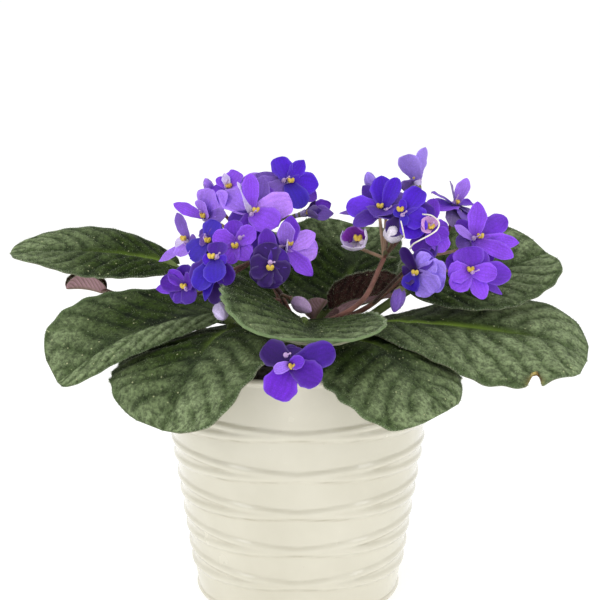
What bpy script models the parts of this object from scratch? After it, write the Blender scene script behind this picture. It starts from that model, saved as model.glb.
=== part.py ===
"""African violet in flower, standing in a ribbed tapered metal pot.

Lengths in the tables are millimetres and are turned into metres by MM.
The origin is the middle of the pot's flat base, +Z up, and the plant is seen from -Y.
"""
import math

import bpy
import bmesh
from mathutils import Vector

MM = 0.001
GAP = 0.3

# Pot
POT_HEIGHT = 124.0
POT_BASE_RADIUS = 52.2
POT_FLARE = 0.1497
POT_WALL = 1.2
POT_FLOOR = 2.0
POT_COLUMNS = 32
RIB_LEVELS = (20.5, 38.5, 57.6, 76.8, 97.0)
RIB_TILT = 4.3
RIB_HEIGHT = 1.1
RIB_HALF_WIDTH = 2.4
RIM_BEAD = 1.5

# Soil and crown
SOIL_TOP = 108.0
SOIL_DOME = 3.0
SOIL_COLUMNS = 24
CROWN_PROFILE = ((10.5, 0.0), (9.5, 6.0), (9.0, 16.0), (8.0, 21.0), (5.5, 25.0))
CROWN_TOP = 26.5
CROWN_COLUMNS = 14

# Leaves
PETIOLE_RADIUS = 2.2
BLADE_THICKNESS = 1.3
BLADE_STATIONS = 9
HALF_POINTS = 3
PATH_SAMPLES = 60

# Flowers
LOBES = 5
LOBE_POINTS = 3
PETAL_NOTCH = 0.26
PETAL_THICKNESS = 0.9
LONGEST_BEND = 9.0
PEDICEL_RADIUS = 0.8
PEDUNCLE_RADIUS = 1.5
STEM_SIDES = 6

LEAF_GREEN = (0.035, 0.075, 0.02)
STEM_BROWN = (0.10, 0.035, 0.025)
DEEP_VIOLET = (0.07, 0.01, 0.55)
BRIGHT_VIOLET = (0.22, 0.05, 0.80)
LILAC = (0.42, 0.28, 0.85)

# name, seat azimuth, seat height, side azimuth, rib points, half widths (left, right),
# left slopes (at rib, at margin), right slopes, widest, bluntness
LEAVES = (
    ("leaf_left_upper", 160, 17, 172,
     ((-69, 25, 166), (-84, 25, 169), (-105, 24, 172), (-128, 20, 173), (-150, 14, 172)),
     (26, 24), ((-12, -14, -8), (-25, -30, -10)), ((18, 28, 25), (10, 18, 10)), 1.0, 2.3),
    ("leaf_left", 196, 21, 190,
     ((-36, -18, 147), (-60, -26, 144), (-87, -36, 135), (-114, -42, 116.5)),
     (13, 37), ((-12, -15, -20), (-40, -70, -40)), ((3, 21, 45), (10, 36, 60)), 1.2, 2.6),
    ("leaf_front_left", 228, 14, 245,
     ((-33, -15, 138), (-42, -43, 135), (-52, -64, 120), (-60, -74, 102)),
     (37, 46), ((5, 10, 15), (-15, 0, 27)), ((-8, -6, 5), (-15, -12, -10)), 1.0, 2.6),
    ("leaf_front", 265, 22, 268,
     ((3, -19, 142), (4, -35, 143), (8, -60, 143.5), (11, -82, 142)),
     (33, 46), ((-5, 0, 5), (12, 17, 16)), ((38, 20, 8), (32, 30, 16)), 0.9, 3.0),
    ("leaf_front_right", 312, 13, 315,
     ((28, -24, 134), (42, -45, 133), (56, -62, 121), (67, -70, 110)),
     (36, 43), ((2, 5, 5), (-8, -15, -20)), ((4, 1, 0), (-8, -30, -18)), 0.96, 2.7),
    ("leaf_right", 352, 15, -3,
     ((42, -7.5, 140), (74, -12, 139.5), (104, -16, 136), (127, -20, 132), (142, -24, 123)),
     (38, 41), ((-4, 22, 17), (-12, 13, 19)), ((3, -23, -11), (-3, -36, -27)), 1.12, 3.2),
    ("leaf_right_back", 10, 20, 15,
     ((64, 14, 156), (86, 17, 159), (111, 22, 164), (133, 28, 171)),
     (35, 34), ((40, 40, 35), (50, 45, 30)), ((-15, -15, -5), (-30, -30, -10)), 1.2, 2.5),
    ("leaf_centre_back", 62, 22, 66,
     ((20, 12, 148), (26, 24, 156), (32, 40, 168), (36, 53, 183)),
     (42, 27), ((10, 22, 30), (22, 36, 38)), ((10, 5, 0), (10, 5, 0)), 0.95, 2.6),
    ("leaf_left_curled", 180, 15, 165,
     ((-103, 16, 152.5), (-109, 16, 153.5), (-115, 15, 154), (-121, 12, 154)),
     (9, 9), ((35, 45, 45), (65, 78, 65)), ((35, 45, 45), (65, 78, 65)), 0.9, 2.4),
    ("leaf_back_left", 135, 15, 132,
     ((-28, 30, 134), (-46, 50, 137), (-62, 68, 133), (-74, 82, 122)),
     (32, 32), ((5, 5, 0), (5, -10, -20)), ((5, 5, 0), (5, -10, -20)), 0.95, 2.5),
    ("leaf_back", 108, 22, 110,
     ((-9, 23, 148), (-14, 36, 158), (-20, 49, 168), (-24, 60, 180)),
     (28, 24), ((10, 12, 10), (15, 20, 10)), ((5, 5, 5), (5, 5, 0)), 0.95, 2.5),
    ("leaf_back_right", 48, 12, 48,
     ((21, 19, 143), (35, 32, 150), (49, 46, 157), (60, 58, 164)),
     (28, 18), ((5, 5, 0), (5, 0, -10)), ((5, 5, 0), (5, 0, -10)), 0.95, 2.5),
    ("leaf_young_left", 295, 23.5, 300,
     ((8, -6, 142), (11, -8, 146), (14, -9, 151)),
     (4, 8), ((20, 20, 10), (40, 50, 30)), ((20, 20, 10), (30, 35, 30)), 0.9, 2.2),
    ("leaf_young_right", 349, 24.5, 0,
     ((20, -1, 144.5), (28, 0, 147.5), (42, 0, 150.5), (55, -1, 153)),
     (15, 1), ((75, 76, 75), (80, 82, 80)), ((45, 45, 40), (60, 60, 50)), 0.9, 2.6),
)

# name, centre, facing, petal length, forward bend, colour
FLOWERS = (
    ("flower_l01", (-4, 6, 210), (0.27, -0.82, 0.49), 15, 15, DEEP_VIOLET),
    ("flower_l02", (-21, -22, 196), (0.05, -0.88, 0.47), 16, 15, BRIGHT_VIOLET),
    ("flower_l03", (-47, -4, 195), (-0.88, -0.36, 0.31), 16, 30, BRIGHT_VIOLET),
    ("flower_l04", (-57, -13, 181), (-0.84, -0.53, 0.11), 12, 25, LILAC),
    ("flower_l05", (-30, -36, 182), (-0.05, -0.98, 0.21), 11, 10, BRIGHT_VIOLET),
    ("flower_l06", (-4, -32, 180), (0.16, -0.95, 0.26), 16, 15, BRIGHT_VIOLET),
    ("flower_l07", (-15, -47, 169), (0.0, -0.97, -0.23), 11, 25, DEEP_VIOLET),
    ("flower_l08", (-55, -38, 162), (-0.56, -0.81, 0.15), 12, 20, BRIGHT_VIOLET),
    ("flower_l09", (-45, -22, 181), (-0.54, -0.54, 0.65), 10, 30, DEEP_VIOLET),
    ("flower_l10", (-36, 2, 208), (-0.3, -0.41, 0.86), 8, 40, LILAC),
    ("flower_l11", (8, 14, 195), (0.67, -0.33, 0.67), 10, 45, DEEP_VIOLET),
    ("flower_l12", (-38, -45, 169.5), (-0.12, -0.96, 0.15), 12, 35, DEEP_VIOLET),
    ("flower_front", (-2, -88, 130), (-0.05, -0.95, 0.30), 18, 15, BRIGHT_VIOLET),
    ("flower_r01", (40, -14, 198), (-0.16, -0.84, 0.52), 16, 20, DEEP_VIOLET),
    ("flower_r02", (57, -24, 197), (-0.21, -0.77, 0.56), 12, 30, DEEP_VIOLET),
    ("flower_r03", (59, 8, 216), (0.0, 0.51, 0.86), 12, 45, LILAC),
    ("flower_r05", (81, 4, 201), (0.47, 0.31, 0.83), 11, 45, BRIGHT_VIOLET),
    ("flower_r06", (88, -14, 184), (0.37, -0.8, 0.48), 16, 20, BRIGHT_VIOLET),
    ("flower_r07", (82, -27, 166), (0.1, -0.94, 0.31), 15, 20, BRIGHT_VIOLET),
    ("flower_r08", (57, -33, 166), (-0.2, -0.9, -0.3), 10, 45, BRIGHT_VIOLET),
    ("flower_r09", (65, -26, 184), (0.11, -0.85, 0.5), 7, 50, LILAC),
)

# name, base point, facing, length, radius
BUDS = (
    ("bud_globe", (29.5, -12, 179.5), (-0.25, -0.85, 0.45), 13, 6.2),
    ("bud_white", (46, -20, 183), (0.0, -0.8, 0.6), 9, 5.0),
    ("bud_left", (-37.5, -36, 153), (0.25, -0.85, -0.45), 12, 4.0),
    ("bud_centre", (-3, -22, 153.5), (0.75, -0.35, -0.45), 12, 4.0),
    ("bud_right", (50, -27, 160), (-0.3, -0.3, -0.9), 13, 3.6),
    ("bud_upper_left", (-44, 8, 204), (-0.4, -0.2, 0.9), 8, 2.6),
    ("bud_upper_right", (38, 6, 206), (-0.3, -0.1, 0.9), 9, 3.2),
    ("bud_top_right", (49, 6, 204), (0.1, -0.2, 0.9), 8, 2.8),
)

# name, seat azimuth, seat height, path points, parts carried: (name, start on the path)
STALKS = (
    ("stalk_left_front", 222, 25.0, ((-7, -5, 150), (-13, -7, 160), (-20, -12, 172)),
     (("flower_l05", 3), ("flower_l07", 3), ("flower_l12", 3), ("flower_l08", 3),
      ("bud_left", 1), ("flower_l02", 3), ("flower_l06", 3))),
    ("stalk_left_back", 180, 25.0, ((-10, 0, 152), (-18, 6, 166), (-24, 6, 178)),
     (("flower_l01", 3), ("flower_l03", 3), ("flower_l04", 3), ("flower_l09", 3),
      ("flower_l10", 3), ("flower_l11", 3), ("bud_upper_left", 3))),
    ("stalk_right_front", 318, 25.0, ((19, -9, 142), (33, -11, 152), (43, -8, 172)),
     (("flower_r01", 3), ("flower_r02", 3), ("flower_r03", 3), ("bud_globe", 3),
      ("bud_white", 3), ("bud_upper_right", 3), ("bud_top_right", 3))),
    ("stalk_right_back", 20, 25.0, ((20, 2, 139), (38, -2, 148), (62, -6, 172)),
     (("flower_r05", 3), ("flower_r06", 3), ("flower_r07", 3), ("flower_r08", 3),
      ("flower_r09", 3), ("bud_right", 2))),
    ("stalk_centre", 265, 25.5, ((-6, -11, 149), (-8, -18, 154.5)), (("bud_centre", 1),)),
    ("stalk_front", 280, 12, ((0, -30, 131), (-4, -50, 129), (-2, -68, 127.5)),
     (("flower_front", 3),)),
)


def clear_scene():
    for item in list(bpy.data.objects):
        bpy.data.objects.remove(item, do_unlink=True)


def make_material(name, colour, roughness, metallic=0.0):
    material = bpy.data.materials.new(name)
    material.use_nodes = True
    shader = material.node_tree.nodes["Principled BSDF"]
    shader.inputs["Base Color"].default_value = (*colour, 1.0)
    shader.inputs["Roughness"].default_value = roughness
    shader.inputs["Metallic"].default_value = metallic
    return material


def make_object(name, points, faces, material):
    mesh = bpy.data.meshes.new(name)
    mesh.from_pydata([tuple(Vector(point) * MM) for point in points], [], faces)
    body = bmesh.new()
    body.from_mesh(mesh)
    bmesh.ops.recalc_face_normals(body, faces=body.faces)
    if body.calc_volume(signed=True) < 0:
        bmesh.ops.reverse_faces(body, faces=body.faces)
    body.to_mesh(mesh)
    body.free()
    mesh.materials.append(material)
    for polygon in mesh.polygons:
        polygon.use_smooth = True
    item = bpy.data.objects.new(name, mesh)
    bpy.context.scene.collection.objects.link(item)
    return item


def ring_faces(rings, count, first_centre=None, last_centre=None):
    """Faces of a closed skin over rings of count points, capped by centre points or polygons."""
    faces = []
    for ring in range(rings - 1):
        for k in range(count):
            a = ring * count + k
            b = ring * count + (k + 1) % count
            faces.append((a, b, b + count, a + count))
    last = (rings - 1) * count
    for centre, start in ((first_centre, 0), (last_centre, last)):
        for k in range(count):
            pair = (start + k, start + (k + 1) % count)
            faces.append((centre, pair[1], pair[0]) if start == 0 else (centre, *pair))
    return faces


def skin(name, rings, first, last, material):
    """One closed body through equal rings with a point at each end."""
    count = len(rings[0])
    points = [point for ring in rings for point in ring]
    points.extend((first, last))
    faces = ring_faces(len(rings), count, len(points) - 2, len(points) - 1)
    return make_object(name, points, faces, material)


def turned_ring(radius, height, columns):
    ring = []
    for k in range(columns):
        angle = 2 * math.pi * k / columns
        ring.append((radius * math.cos(angle), radius * math.sin(angle), height))
    return ring


def pot_radius(height):
    return POT_BASE_RADIUS + POT_FLARE * height


def rib_rows(level, angle):
    """Five rows over a pair of opposite tilted ribs, which cross at the front and back."""
    half = math.sqrt((RIB_TILT * math.cos(angle)) ** 2 + 0.8)
    low, high = level - half, level + half
    saddle = max(0.0, 1.0 - half / RIB_HALF_WIDTH)
    rows = ((low - RIB_HALF_WIDTH, 0.0), (low, 1.0), (level, saddle), (high, 1.0),
            (high + RIB_HALF_WIDTH, 0.0))
    return [(pot_radius(z) + RIB_HEIGHT * share, z) for z, share in rows]


def pot_column(angle):
    """Outline of the pot at one angle, from the middle of the base out, up and back inside."""
    rim = pot_radius(POT_HEIGHT)
    column = [(POT_BASE_RADIUS - 4.0, 0.0), (POT_BASE_RADIUS - 0.4, 0.0)]
    column += [(POT_BASE_RADIUS + 1.0, 1.4), (POT_BASE_RADIUS + 0.9, 2.8)]
    column += [(pot_radius(4.6), 4.6)]
    for level in RIB_LEVELS:
        column += rib_rows(level, angle)
    column += [(rim - 0.4, POT_HEIGHT - 2 * RIM_BEAD), (rim + RIM_BEAD * 0.7, POT_HEIGHT - 2.2)]
    column += [(rim + RIM_BEAD * 0.7, POT_HEIGHT - 0.8), (rim - 0.2, POT_HEIGHT)]
    column += [(rim - RIM_BEAD, POT_HEIGHT - 1.2), (rim - POT_WALL, POT_HEIGHT - 3.4)]
    column += [(pot_radius(POT_FLOOR) - POT_WALL, POT_FLOOR)]
    return column


def build_pot(material):
    columns = [pot_column(2 * math.pi * k / POT_COLUMNS) for k in range(POT_COLUMNS)]
    rings = []
    for row in range(len(columns[0])):
        ring = []
        for k, column in enumerate(columns):
            angle = 2 * math.pi * k / POT_COLUMNS
            radius, height = column[row]
            ring.append((radius * math.cos(angle), radius * math.sin(angle), height))
        rings.append(ring)
    return skin("pot", rings, (0, 0, 0), (0, 0, POT_FLOOR), material)


def soil_height(radius, angle):
    outer = pot_radius(SOIL_TOP) - POT_WALL - GAP
    share = radius / outer
    bump = 0.8 * math.sin(5 * angle + 9 * share) * share * (1 - share)
    return SOIL_TOP + SOIL_DOME * (1 - share * share) + 4 * bump


def build_soil(material):
    floor = POT_FLOOR + GAP
    base = pot_radius(floor) - POT_WALL - GAP
    outer = pot_radius(SOIL_TOP) - POT_WALL - GAP
    rings = [turned_ring(base, floor, SOIL_COLUMNS), turned_ring(outer, SOIL_TOP, SOIL_COLUMNS)]
    for share in (0.85, 0.6, 0.35):
        ring = []
        for k in range(SOIL_COLUMNS):
            angle = 2 * math.pi * k / SOIL_COLUMNS
            radius = outer * share
            ring.append((radius * math.cos(angle), radius * math.sin(angle),
                         soil_height(radius, angle)))
        rings.append(ring)
    rings.append(turned_ring(CROWN_PROFILE[0][0], SOIL_TOP + SOIL_DOME, SOIL_COLUMNS))
    return skin("soil", rings, (0, 0, floor), (0, 0, SOIL_TOP + SOIL_DOME), material)


def crown_radius(height):
    """Radius of the crown at a height over its foot."""
    for (r0, z0), (r1, z1) in zip(CROWN_PROFILE[:-1], CROWN_PROFILE[1:]):
        if height <= z1:
            return r0 + (r1 - r0) * (height - z0) / (z1 - z0)
    return CROWN_PROFILE[-1][0]


def build_crown(material):
    foot = SOIL_TOP + SOIL_DOME + GAP
    rings = [turned_ring(radius, foot + height, CROWN_COLUMNS) for radius, height in CROWN_PROFILE]
    return skin("crown", rings, (0, 0, foot), (0, 0, foot + CROWN_TOP), material)


def seat(azimuth, height, stem_radius):
    """Point just off the crown's side, where a stem of some radius starts."""
    angle = math.radians(azimuth)
    radius = crown_radius(max(height - stem_radius, 0.0)) + 2.0 * GAP
    level = SOIL_TOP + SOIL_DOME + GAP + height
    return Vector((radius * math.cos(angle), radius * math.sin(angle), level))


def smooth_path(points, count):
    """Evenly spaced points on a smooth curve through the given points."""
    known = [Vector(point) for point in points]
    known = [2 * known[0] - known[1], *known, 2 * known[-1] - known[-2]]
    fine = []
    for a, b, c, d in zip(known[:-3], known[1:-2], known[2:-1], known[3:]):
        for step in range(16):
            s = step / 16
            fine.append(0.5 * (2 * b + (c - a) * s + (2 * a - 5 * b + 4 * c - d) * s * s
                               + (3 * b - a - 3 * c + d) * s ** 3))
    fine.append(known[-2])
    run = [0.0]
    for a, b in zip(fine[:-1], fine[1:]):
        run.append(run[-1] + (b - a).length)
    out = []
    j = 0
    for k in range(count):
        target = run[-1] * k / (count - 1)
        while j < len(run) - 2 and run[j + 1] < target:
            j += 1
        share = (target - run[j]) / max(run[j + 1] - run[j], 1e-9)
        out.append(fine[j].lerp(fine[j + 1], share))
    return out


def tangents(path):
    out = []
    for k in range(len(path)):
        a = path[max(k - 1, 0)]
        b = path[min(k + 1, len(path) - 1)]
        out.append((b - a).normalized())
    return out


def between(values, share):
    """Value at a share of the way through evenly spread values."""
    place = min(max(share, 0.0), 1.0) * (len(values) - 1)
    k = min(int(place), len(values) - 2)
    return values[k] + (values[k + 1] - values[k]) * (place - k)


def outline(share, widest, blunt):
    grown = share ** widest
    return max(0.0, 1 - abs(2 * grown - 1) ** blunt) ** (1 / blunt)


def blade_offset(width, slopes, share, across):
    """Sideways and upward reach on one half of the blade, from rib (0) to margin (1)."""
    start = math.radians(between(slopes[0], share))
    turn = math.radians(between(slopes[1], share)) - start
    if abs(turn) < 0.01:
        turn = 0.01
    end = start + turn * across
    return (width * (math.sin(end) - math.sin(start)) / turn,
            width * (math.cos(start) - math.cos(end)) / turn)


def round_ring(centre, side, normal, radius, count):
    """Ring that starts at the left side and goes over the top, as the blade's rings do."""
    ring = []
    for k in range(count):
        angle = 2 * math.pi * k / count
        ring.append(centre + side * (radius * math.cos(angle)) + normal * (radius * math.sin(angle)))
    return ring


def build_leaf(spec, material):
    name, turn, height, azimuth, rib, widths, left, right, widest, blunt = spec
    count = 4 * HALF_POINTS
    angle = math.radians(azimuth)
    level_side = Vector((-math.sin(angle), math.cos(angle), 0.0))
    scale = min(1.0, widths[0] / 20.0)
    radius = PETIOLE_RADIUS * (0.45 + 0.55 * scale)
    start = seat(turn, height, radius)
    away = Vector((math.cos(math.radians(turn)), math.sin(math.radians(turn)), 0.15))
    out = start + away * (0.3 * (Vector(rib[0]) - start).length)
    stem = smooth_path((start, out, rib[0], rib[1]), 31)
    blade_path = smooth_path(rib, PATH_SAMPLES)
    nearest = min(range(len(stem)), key=lambda k: (stem[k] - blade_path[0]).length)
    stem = stem[:nearest]
    rings = []
    for k in range(4):
        j = round(k * (len(stem) - 2) / 3)
        direction = tangents(stem)[j]
        side = (level_side - direction * level_side.dot(direction)).normalized()
        rings.append(round_ring(stem[j], side, direction.cross(side), radius, count))
    directions = tangents(blade_path)
    for station in range(BLADE_STATIONS):
        share = (station + 0.35) / (BLADE_STATIONS - 0.35)
        j = min(round(share * (PATH_SAMPLES - 1)), PATH_SAMPLES - 1)
        direction = directions[j]
        side = (level_side - direction * level_side.dot(direction)).normalized()
        normal = direction.cross(side)
        reach = outline(min(share, 0.985), widest, blunt)
        thick = BLADE_THICKNESS * (0.55 + 0.45 * scale)
        top = []
        under = []
        for k in range(-HALF_POINTS, HALF_POINTS + 1):
            across = abs(k) / HALF_POINTS
            width, slopes = (widths[0], left) if k < 0 else (widths[1], right)
            x, z = blade_offset(max(width * reach, radius), slopes, share, across)
            back = -0.24 * width * (1 - share) ** 4 * across * across
            point = blade_path[j] + normal * z + direction * back
            point += side * (x if k < 0 else -x)
            top.append(point)
            depth = thick + (radius - thick * 0.5) * (1 - share) ** 2 * (1 if k == 0 else 0)
            under.append(point - normal * depth)
        rings.append(top + under[-2:0:-1])
    tip = blade_path[-1] + directions[-1] * 0.4
    return skin(name, rings, stem[0] - tangents(stem)[0] * 0.1, tip, material)


def across_axes(facing):
    side = Vector((0, 0, 1)).cross(facing)
    if side.length < 0.05:
        side = Vector((1, 0, 0))
    side.normalize()
    return side, facing.cross(side)


def flower_base(centre, facing, petal):
    """Point behind the flower where its stem ends."""
    return Vector(centre) - Vector(facing).normalized() * (3.0 + 0.28 * petal)


def build_flower(spec, material):
    name, centre, facing, petal, bend, colour = spec
    facing = Vector(facing).normalized()
    side, up = across_axes(facing)
    centre = Vector(centre)
    base = flower_base(centre, facing, petal)
    depth = (centre - base).length
    count = LOBES * LOBE_POINTS
    thick = PETAL_THICKNESS / 2

    def ring(radius, reach, lobed):
        """Ring at a distance behind or before the middle; lobed rings follow the petals."""
        points = []
        for k in range(count):
            angle = 2 * math.pi * (k / LOBE_POINTS) / LOBES + math.pi / 2
            notch = 1.0 if k % LOBE_POINTS else 1.0 - PETAL_NOTCH * lobed
            points.append(centre + side * (radius * notch * math.cos(angle))
                          + up * (radius * notch * math.sin(angle)) + facing * reach)
        return points

    lean = math.radians(bend)
    cosine, sine = math.cos(lean), math.sin(lean)
    rings = [ring(1.5, -depth, 0), ring(2.1, -depth * 0.55, 0), ring(1.9, -1.2, 0)]
    for share, lobed in ((0.5, 0.5), (0.85, 1.0), (1.0, 1.0)):
        reach = petal * share
        rings.append(ring(reach * cosine, reach * sine - thick, lobed))
    for share, lobed in ((0.98, 1.0), (0.8, 1.0), (0.45, 0.5)):
        reach = petal * share
        rings.append(ring(reach * cosine, reach * sine + thick, lobed))
    rings.append(ring(1.6, 0.2, 0))
    return skin(name, rings, base, centre + facing * 1.6, material)


def build_bud(spec, material):
    name, base, facing, length, radius = spec
    facing = Vector(facing).normalized()
    side, up = across_axes(facing)
    base = Vector(base)
    rings = []
    for share, width in ((0.04, 0.45), (0.2, 0.75), (0.42, 1.0), (0.65, 0.95), (0.86, 0.6)):
        centre = base + facing * (length * share)
        rings.append(round_ring(centre, side, up, radius * width, 10))
    return skin(name, rings, base, base + facing * length, material)


def tube(name, path, start_radius, end_radius, material):
    directions = tangents(path)
    side = Vector((0, 0, 1)).cross(directions[0])
    if side.length < 0.1:
        side = Vector((1, 0, 0))
    rings = []
    for k, point in enumerate(path):
        side = (side - directions[k] * side.dot(directions[k])).normalized()
        share = k / (len(path) - 1)
        radius = start_radius + (end_radius - start_radius) * share
        rings.append(round_ring(point, side, directions[k].cross(side), radius, STEM_SIDES))
    first = path[0] - directions[0] * 0.1
    last = path[-1] + directions[-1] * 0.1
    return skin(name, rings, first, last, material)


def fuse(name, pieces, material):
    """One body from crossing stems."""
    whole = pieces[0]
    for piece in pieces[1:]:
        step = whole.modifiers.new("join", "BOOLEAN")
        step.operation = "UNION"
        step.solver = "EXACT"
        step.object = piece
        graph = bpy.context.evaluated_depsgraph_get()
        mesh = bpy.data.meshes.new_from_object(whole.evaluated_get(graph))
        whole.modifiers.clear()
        whole.data = mesh
        bpy.data.objects.remove(piece, do_unlink=True)
    whole.name = name
    whole.data.name = name
    return whole


def carried_end(name):
    """Where the stem of a flower or bud ends, and the way it points there."""
    for flower in FLOWERS:
        if flower[0] == name:
            facing = Vector(flower[2]).normalized()
            return flower_base(flower[1], facing, flower[3]) - facing * (GAP + 0.2), facing
    for bud in BUDS:
        if bud[0] == name:
            facing = Vector(bud[2]).normalized()
            return Vector(bud[1]) - facing * (GAP + 0.1), facing
    raise ValueError(name)


def build_stalk(spec, material):
    name, turn, height, points, carried = spec
    start = seat(turn, height, 0.0)
    knots = [start, *[Vector(point) for point in points]]
    pieces = []
    if len(carried) > 1:
        path = smooth_path(knots, 9)
        pieces.append(tube(name, path, PEDUNCLE_RADIUS, PEDUNCLE_RADIUS * 0.8, material))
        for other, knot in carried:
            end, facing = carried_end(other)
            span = (end - knots[knot]).length
            bend = end - facing * min(0.35 * span, LONGEST_BEND)
            path = smooth_path((knots[knot], bend, end), 5)
            pieces.append(tube(other + "_stem", path, PEDICEL_RADIUS * 1.1, PEDICEL_RADIUS, material))
    else:
        end, facing = carried_end(carried[0][0])
        path = smooth_path((*knots, end), 9)
        pieces.append(tube(name, path, PEDUNCLE_RADIUS, PEDICEL_RADIUS, material))
    return fuse(name, pieces, material)


def main():
    clear_scene()
    build_pot(make_material("pot_cream", (0.78, 0.74, 0.62), 0.22))
    build_soil(make_material("soil_peat", (0.045, 0.028, 0.018), 0.95))
    build_crown(make_material("crown_green", (0.10, 0.13, 0.04), 0.7))
    for leaf in LEAVES:
        build_leaf(leaf, make_material(leaf[0] + "_green", LEAF_GREEN, 0.6))
    for flower in FLOWERS:
        build_flower(flower, make_material(flower[0] + "_petal", flower[5], 0.55))
    for bud in BUDS:
        build_bud(bud, make_material(bud[0] + "_petal", LILAC, 0.55))
    for stalk in STALKS:
        build_stalk(stalk, make_material(stalk[0] + "_skin", STEM_BROWN, 0.6))


main()
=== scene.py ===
"""Looks of the potted african violet: velvety leaves, violet flowers and a cream ribbed pot.

Lengths are millimetres until a mesh is made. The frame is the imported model's own: origin in
the middle of the pot's flat base, +Z up, the plant seen from -Y.
"""
import math

import bpy
import numpy as np
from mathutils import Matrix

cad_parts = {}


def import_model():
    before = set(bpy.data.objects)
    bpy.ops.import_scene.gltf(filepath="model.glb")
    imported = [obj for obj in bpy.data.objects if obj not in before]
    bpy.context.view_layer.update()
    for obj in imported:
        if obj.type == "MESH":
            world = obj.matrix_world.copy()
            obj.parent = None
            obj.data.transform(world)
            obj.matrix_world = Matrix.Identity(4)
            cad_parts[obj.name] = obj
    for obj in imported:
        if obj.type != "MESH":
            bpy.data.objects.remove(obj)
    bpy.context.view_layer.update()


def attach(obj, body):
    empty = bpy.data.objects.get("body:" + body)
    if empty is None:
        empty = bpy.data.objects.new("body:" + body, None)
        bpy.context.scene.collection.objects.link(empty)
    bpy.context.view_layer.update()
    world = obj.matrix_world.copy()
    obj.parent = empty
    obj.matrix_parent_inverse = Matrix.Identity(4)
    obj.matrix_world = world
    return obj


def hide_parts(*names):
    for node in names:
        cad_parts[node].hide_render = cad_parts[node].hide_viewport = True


MM = 0.001
GAP = 0.3
RIGHT, BACK, UP = np.eye(3)
# Low and high corner of the box that every point stays in
REACH = ((-150.3, -97.9, 0.0), (147.9, 90.0, 227.4))

# Camera, floor and light. The lights' places, sizes and target are in metres
CAMERA_PLACE = (1.05, -504.8, 226.1)
CAMERA_PITCH = 8.62
CAMERA_LENS = 60.0
CAMERA_SENSOR = 36.0
FLOOR_HALF = 20000.0
FLOOR_GLOW = 0.40
BASE_LIGHT = 0.27
SIDE_LIGHT = 0.62
TOP_LIGHT = 0.45
BACKDROP_LIGHT = 1.02
LIGHT_TARGET = (0.0, 0.0, 0.12)
LIGHTS = (("window_left", (-0.75, -0.65, 0.65), (0.35, 0.9), 3.0),
          ("window_right", (0.85, -0.55, 0.6), (0.30, 0.9), 2.4))

# Pot
POT_HEIGHT = 124.0
POT_BASE_RADIUS = 52.2
POT_FLARE = 0.1497
POT_WALL = 1.2
POT_FLOOR = 2.0
POT_COLUMNS = 216
POT_ROWS = 140
RIB_LEVELS = (20.5, 38.5, 57.6, 76.8, 97.0)
RIB_TILT = 4.3
RIB_HEIGHT = 1.2
RIB_HALF_WIDTH = 2.1
GROOVE_WIDTH = 0.55
# Section of the bead at the foot: out from the base radius, height
FOOT_BEAD = ((-6.0, 0.5), (-2.0, 0.0), (-0.4, 0.0), (0.7, 0.5), (1.1, 1.4), (0.9, 2.3),
             (0.45, 2.9))
# Section of the bead at the rim: out from the rim's radius, down from its top
RIM_BEAD = ((-0.4, 3.2), (0.4, 2.9), (0.95, 2.2), (1.05, 1.4), (0.8, 0.6), (0.2, 0.1),
            (-0.5, 0.0), (-1.1, 0.4), (-1.5, 1.2), (-1.5, 2.4), (-1.6, 4.0))

# Soil and crown, with the crown's profile as (radius, height)
SOIL_TOP = 108.0
SOIL_DOME = 3.0
SOIL_CRUMBS = 900
SOIL_COLUMNS = 160
SOIL_ROWS = 52
CROWN_PROFILE = ((10.5, 0.0), (9.5, 6.0), (9.0, 16.0), (8.0, 21.0), (5.5, 25.0))
CROWN_TOP = 26.5
CROWN_COLUMNS = 72
CROWN_ROWS = 44
CROWN_FOOT = SOIL_TOP + SOIL_DOME + GAP
# How deep the scars of old leaves are, as a share of the radius
LEAF_SCAR = 0.035

# Hairs: how many a piece has at full size, and their radii
CROWN_HAIRS = 1400
BLADE_HAIRS = 1900
MARGIN_HAIRS = 1150
PETIOLE_HAIRS = 350
BUD_HAIRS = 420
HAIRS_PER_MM = 4.0
HAIR_RADIUS = 0.05
FINE_HAIR_RADIUS = 0.045
BUD_HAIR_RADIUS = 0.04

# Leaves
PETIOLE_RADIUS = 2.2
BLADE_THICKNESS = 1.2
MARGIN_THICKNESS = 0.7
BLADE_ROWS = 80
BLADE_COLUMNS = 53
PETIOLE_ROWS = 61
VEIN_PAIRS = 8
VEIN_SWEEP = 0.30
VEIN_WIDTH = 0.16
RIB_GROOVE = 1.4
PILLOW_HEIGHT = 1.1
PUCKER_HEIGHT = 0.20
WAVE_HEIGHT = 1.4
# Half widths from which a leaf has its full petiole and hair, and its full relief
FULL_SIZE_WIDTH = 20.0
FULL_RELIEF_WIDTH = 26.0
# The wound in one leaf's margin: share of the blade's length, and depth as a share of its width
BITTEN_LEAF = "leaf_right"
BITE_SHARE = 0.745
BITE_DEPTH = 0.20
# The leaf whose margin is rolled into a bead, and how far the bead swells
ROLLED_LEAF = "leaf_front"
ROLLED_MARGIN = 0.45

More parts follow.
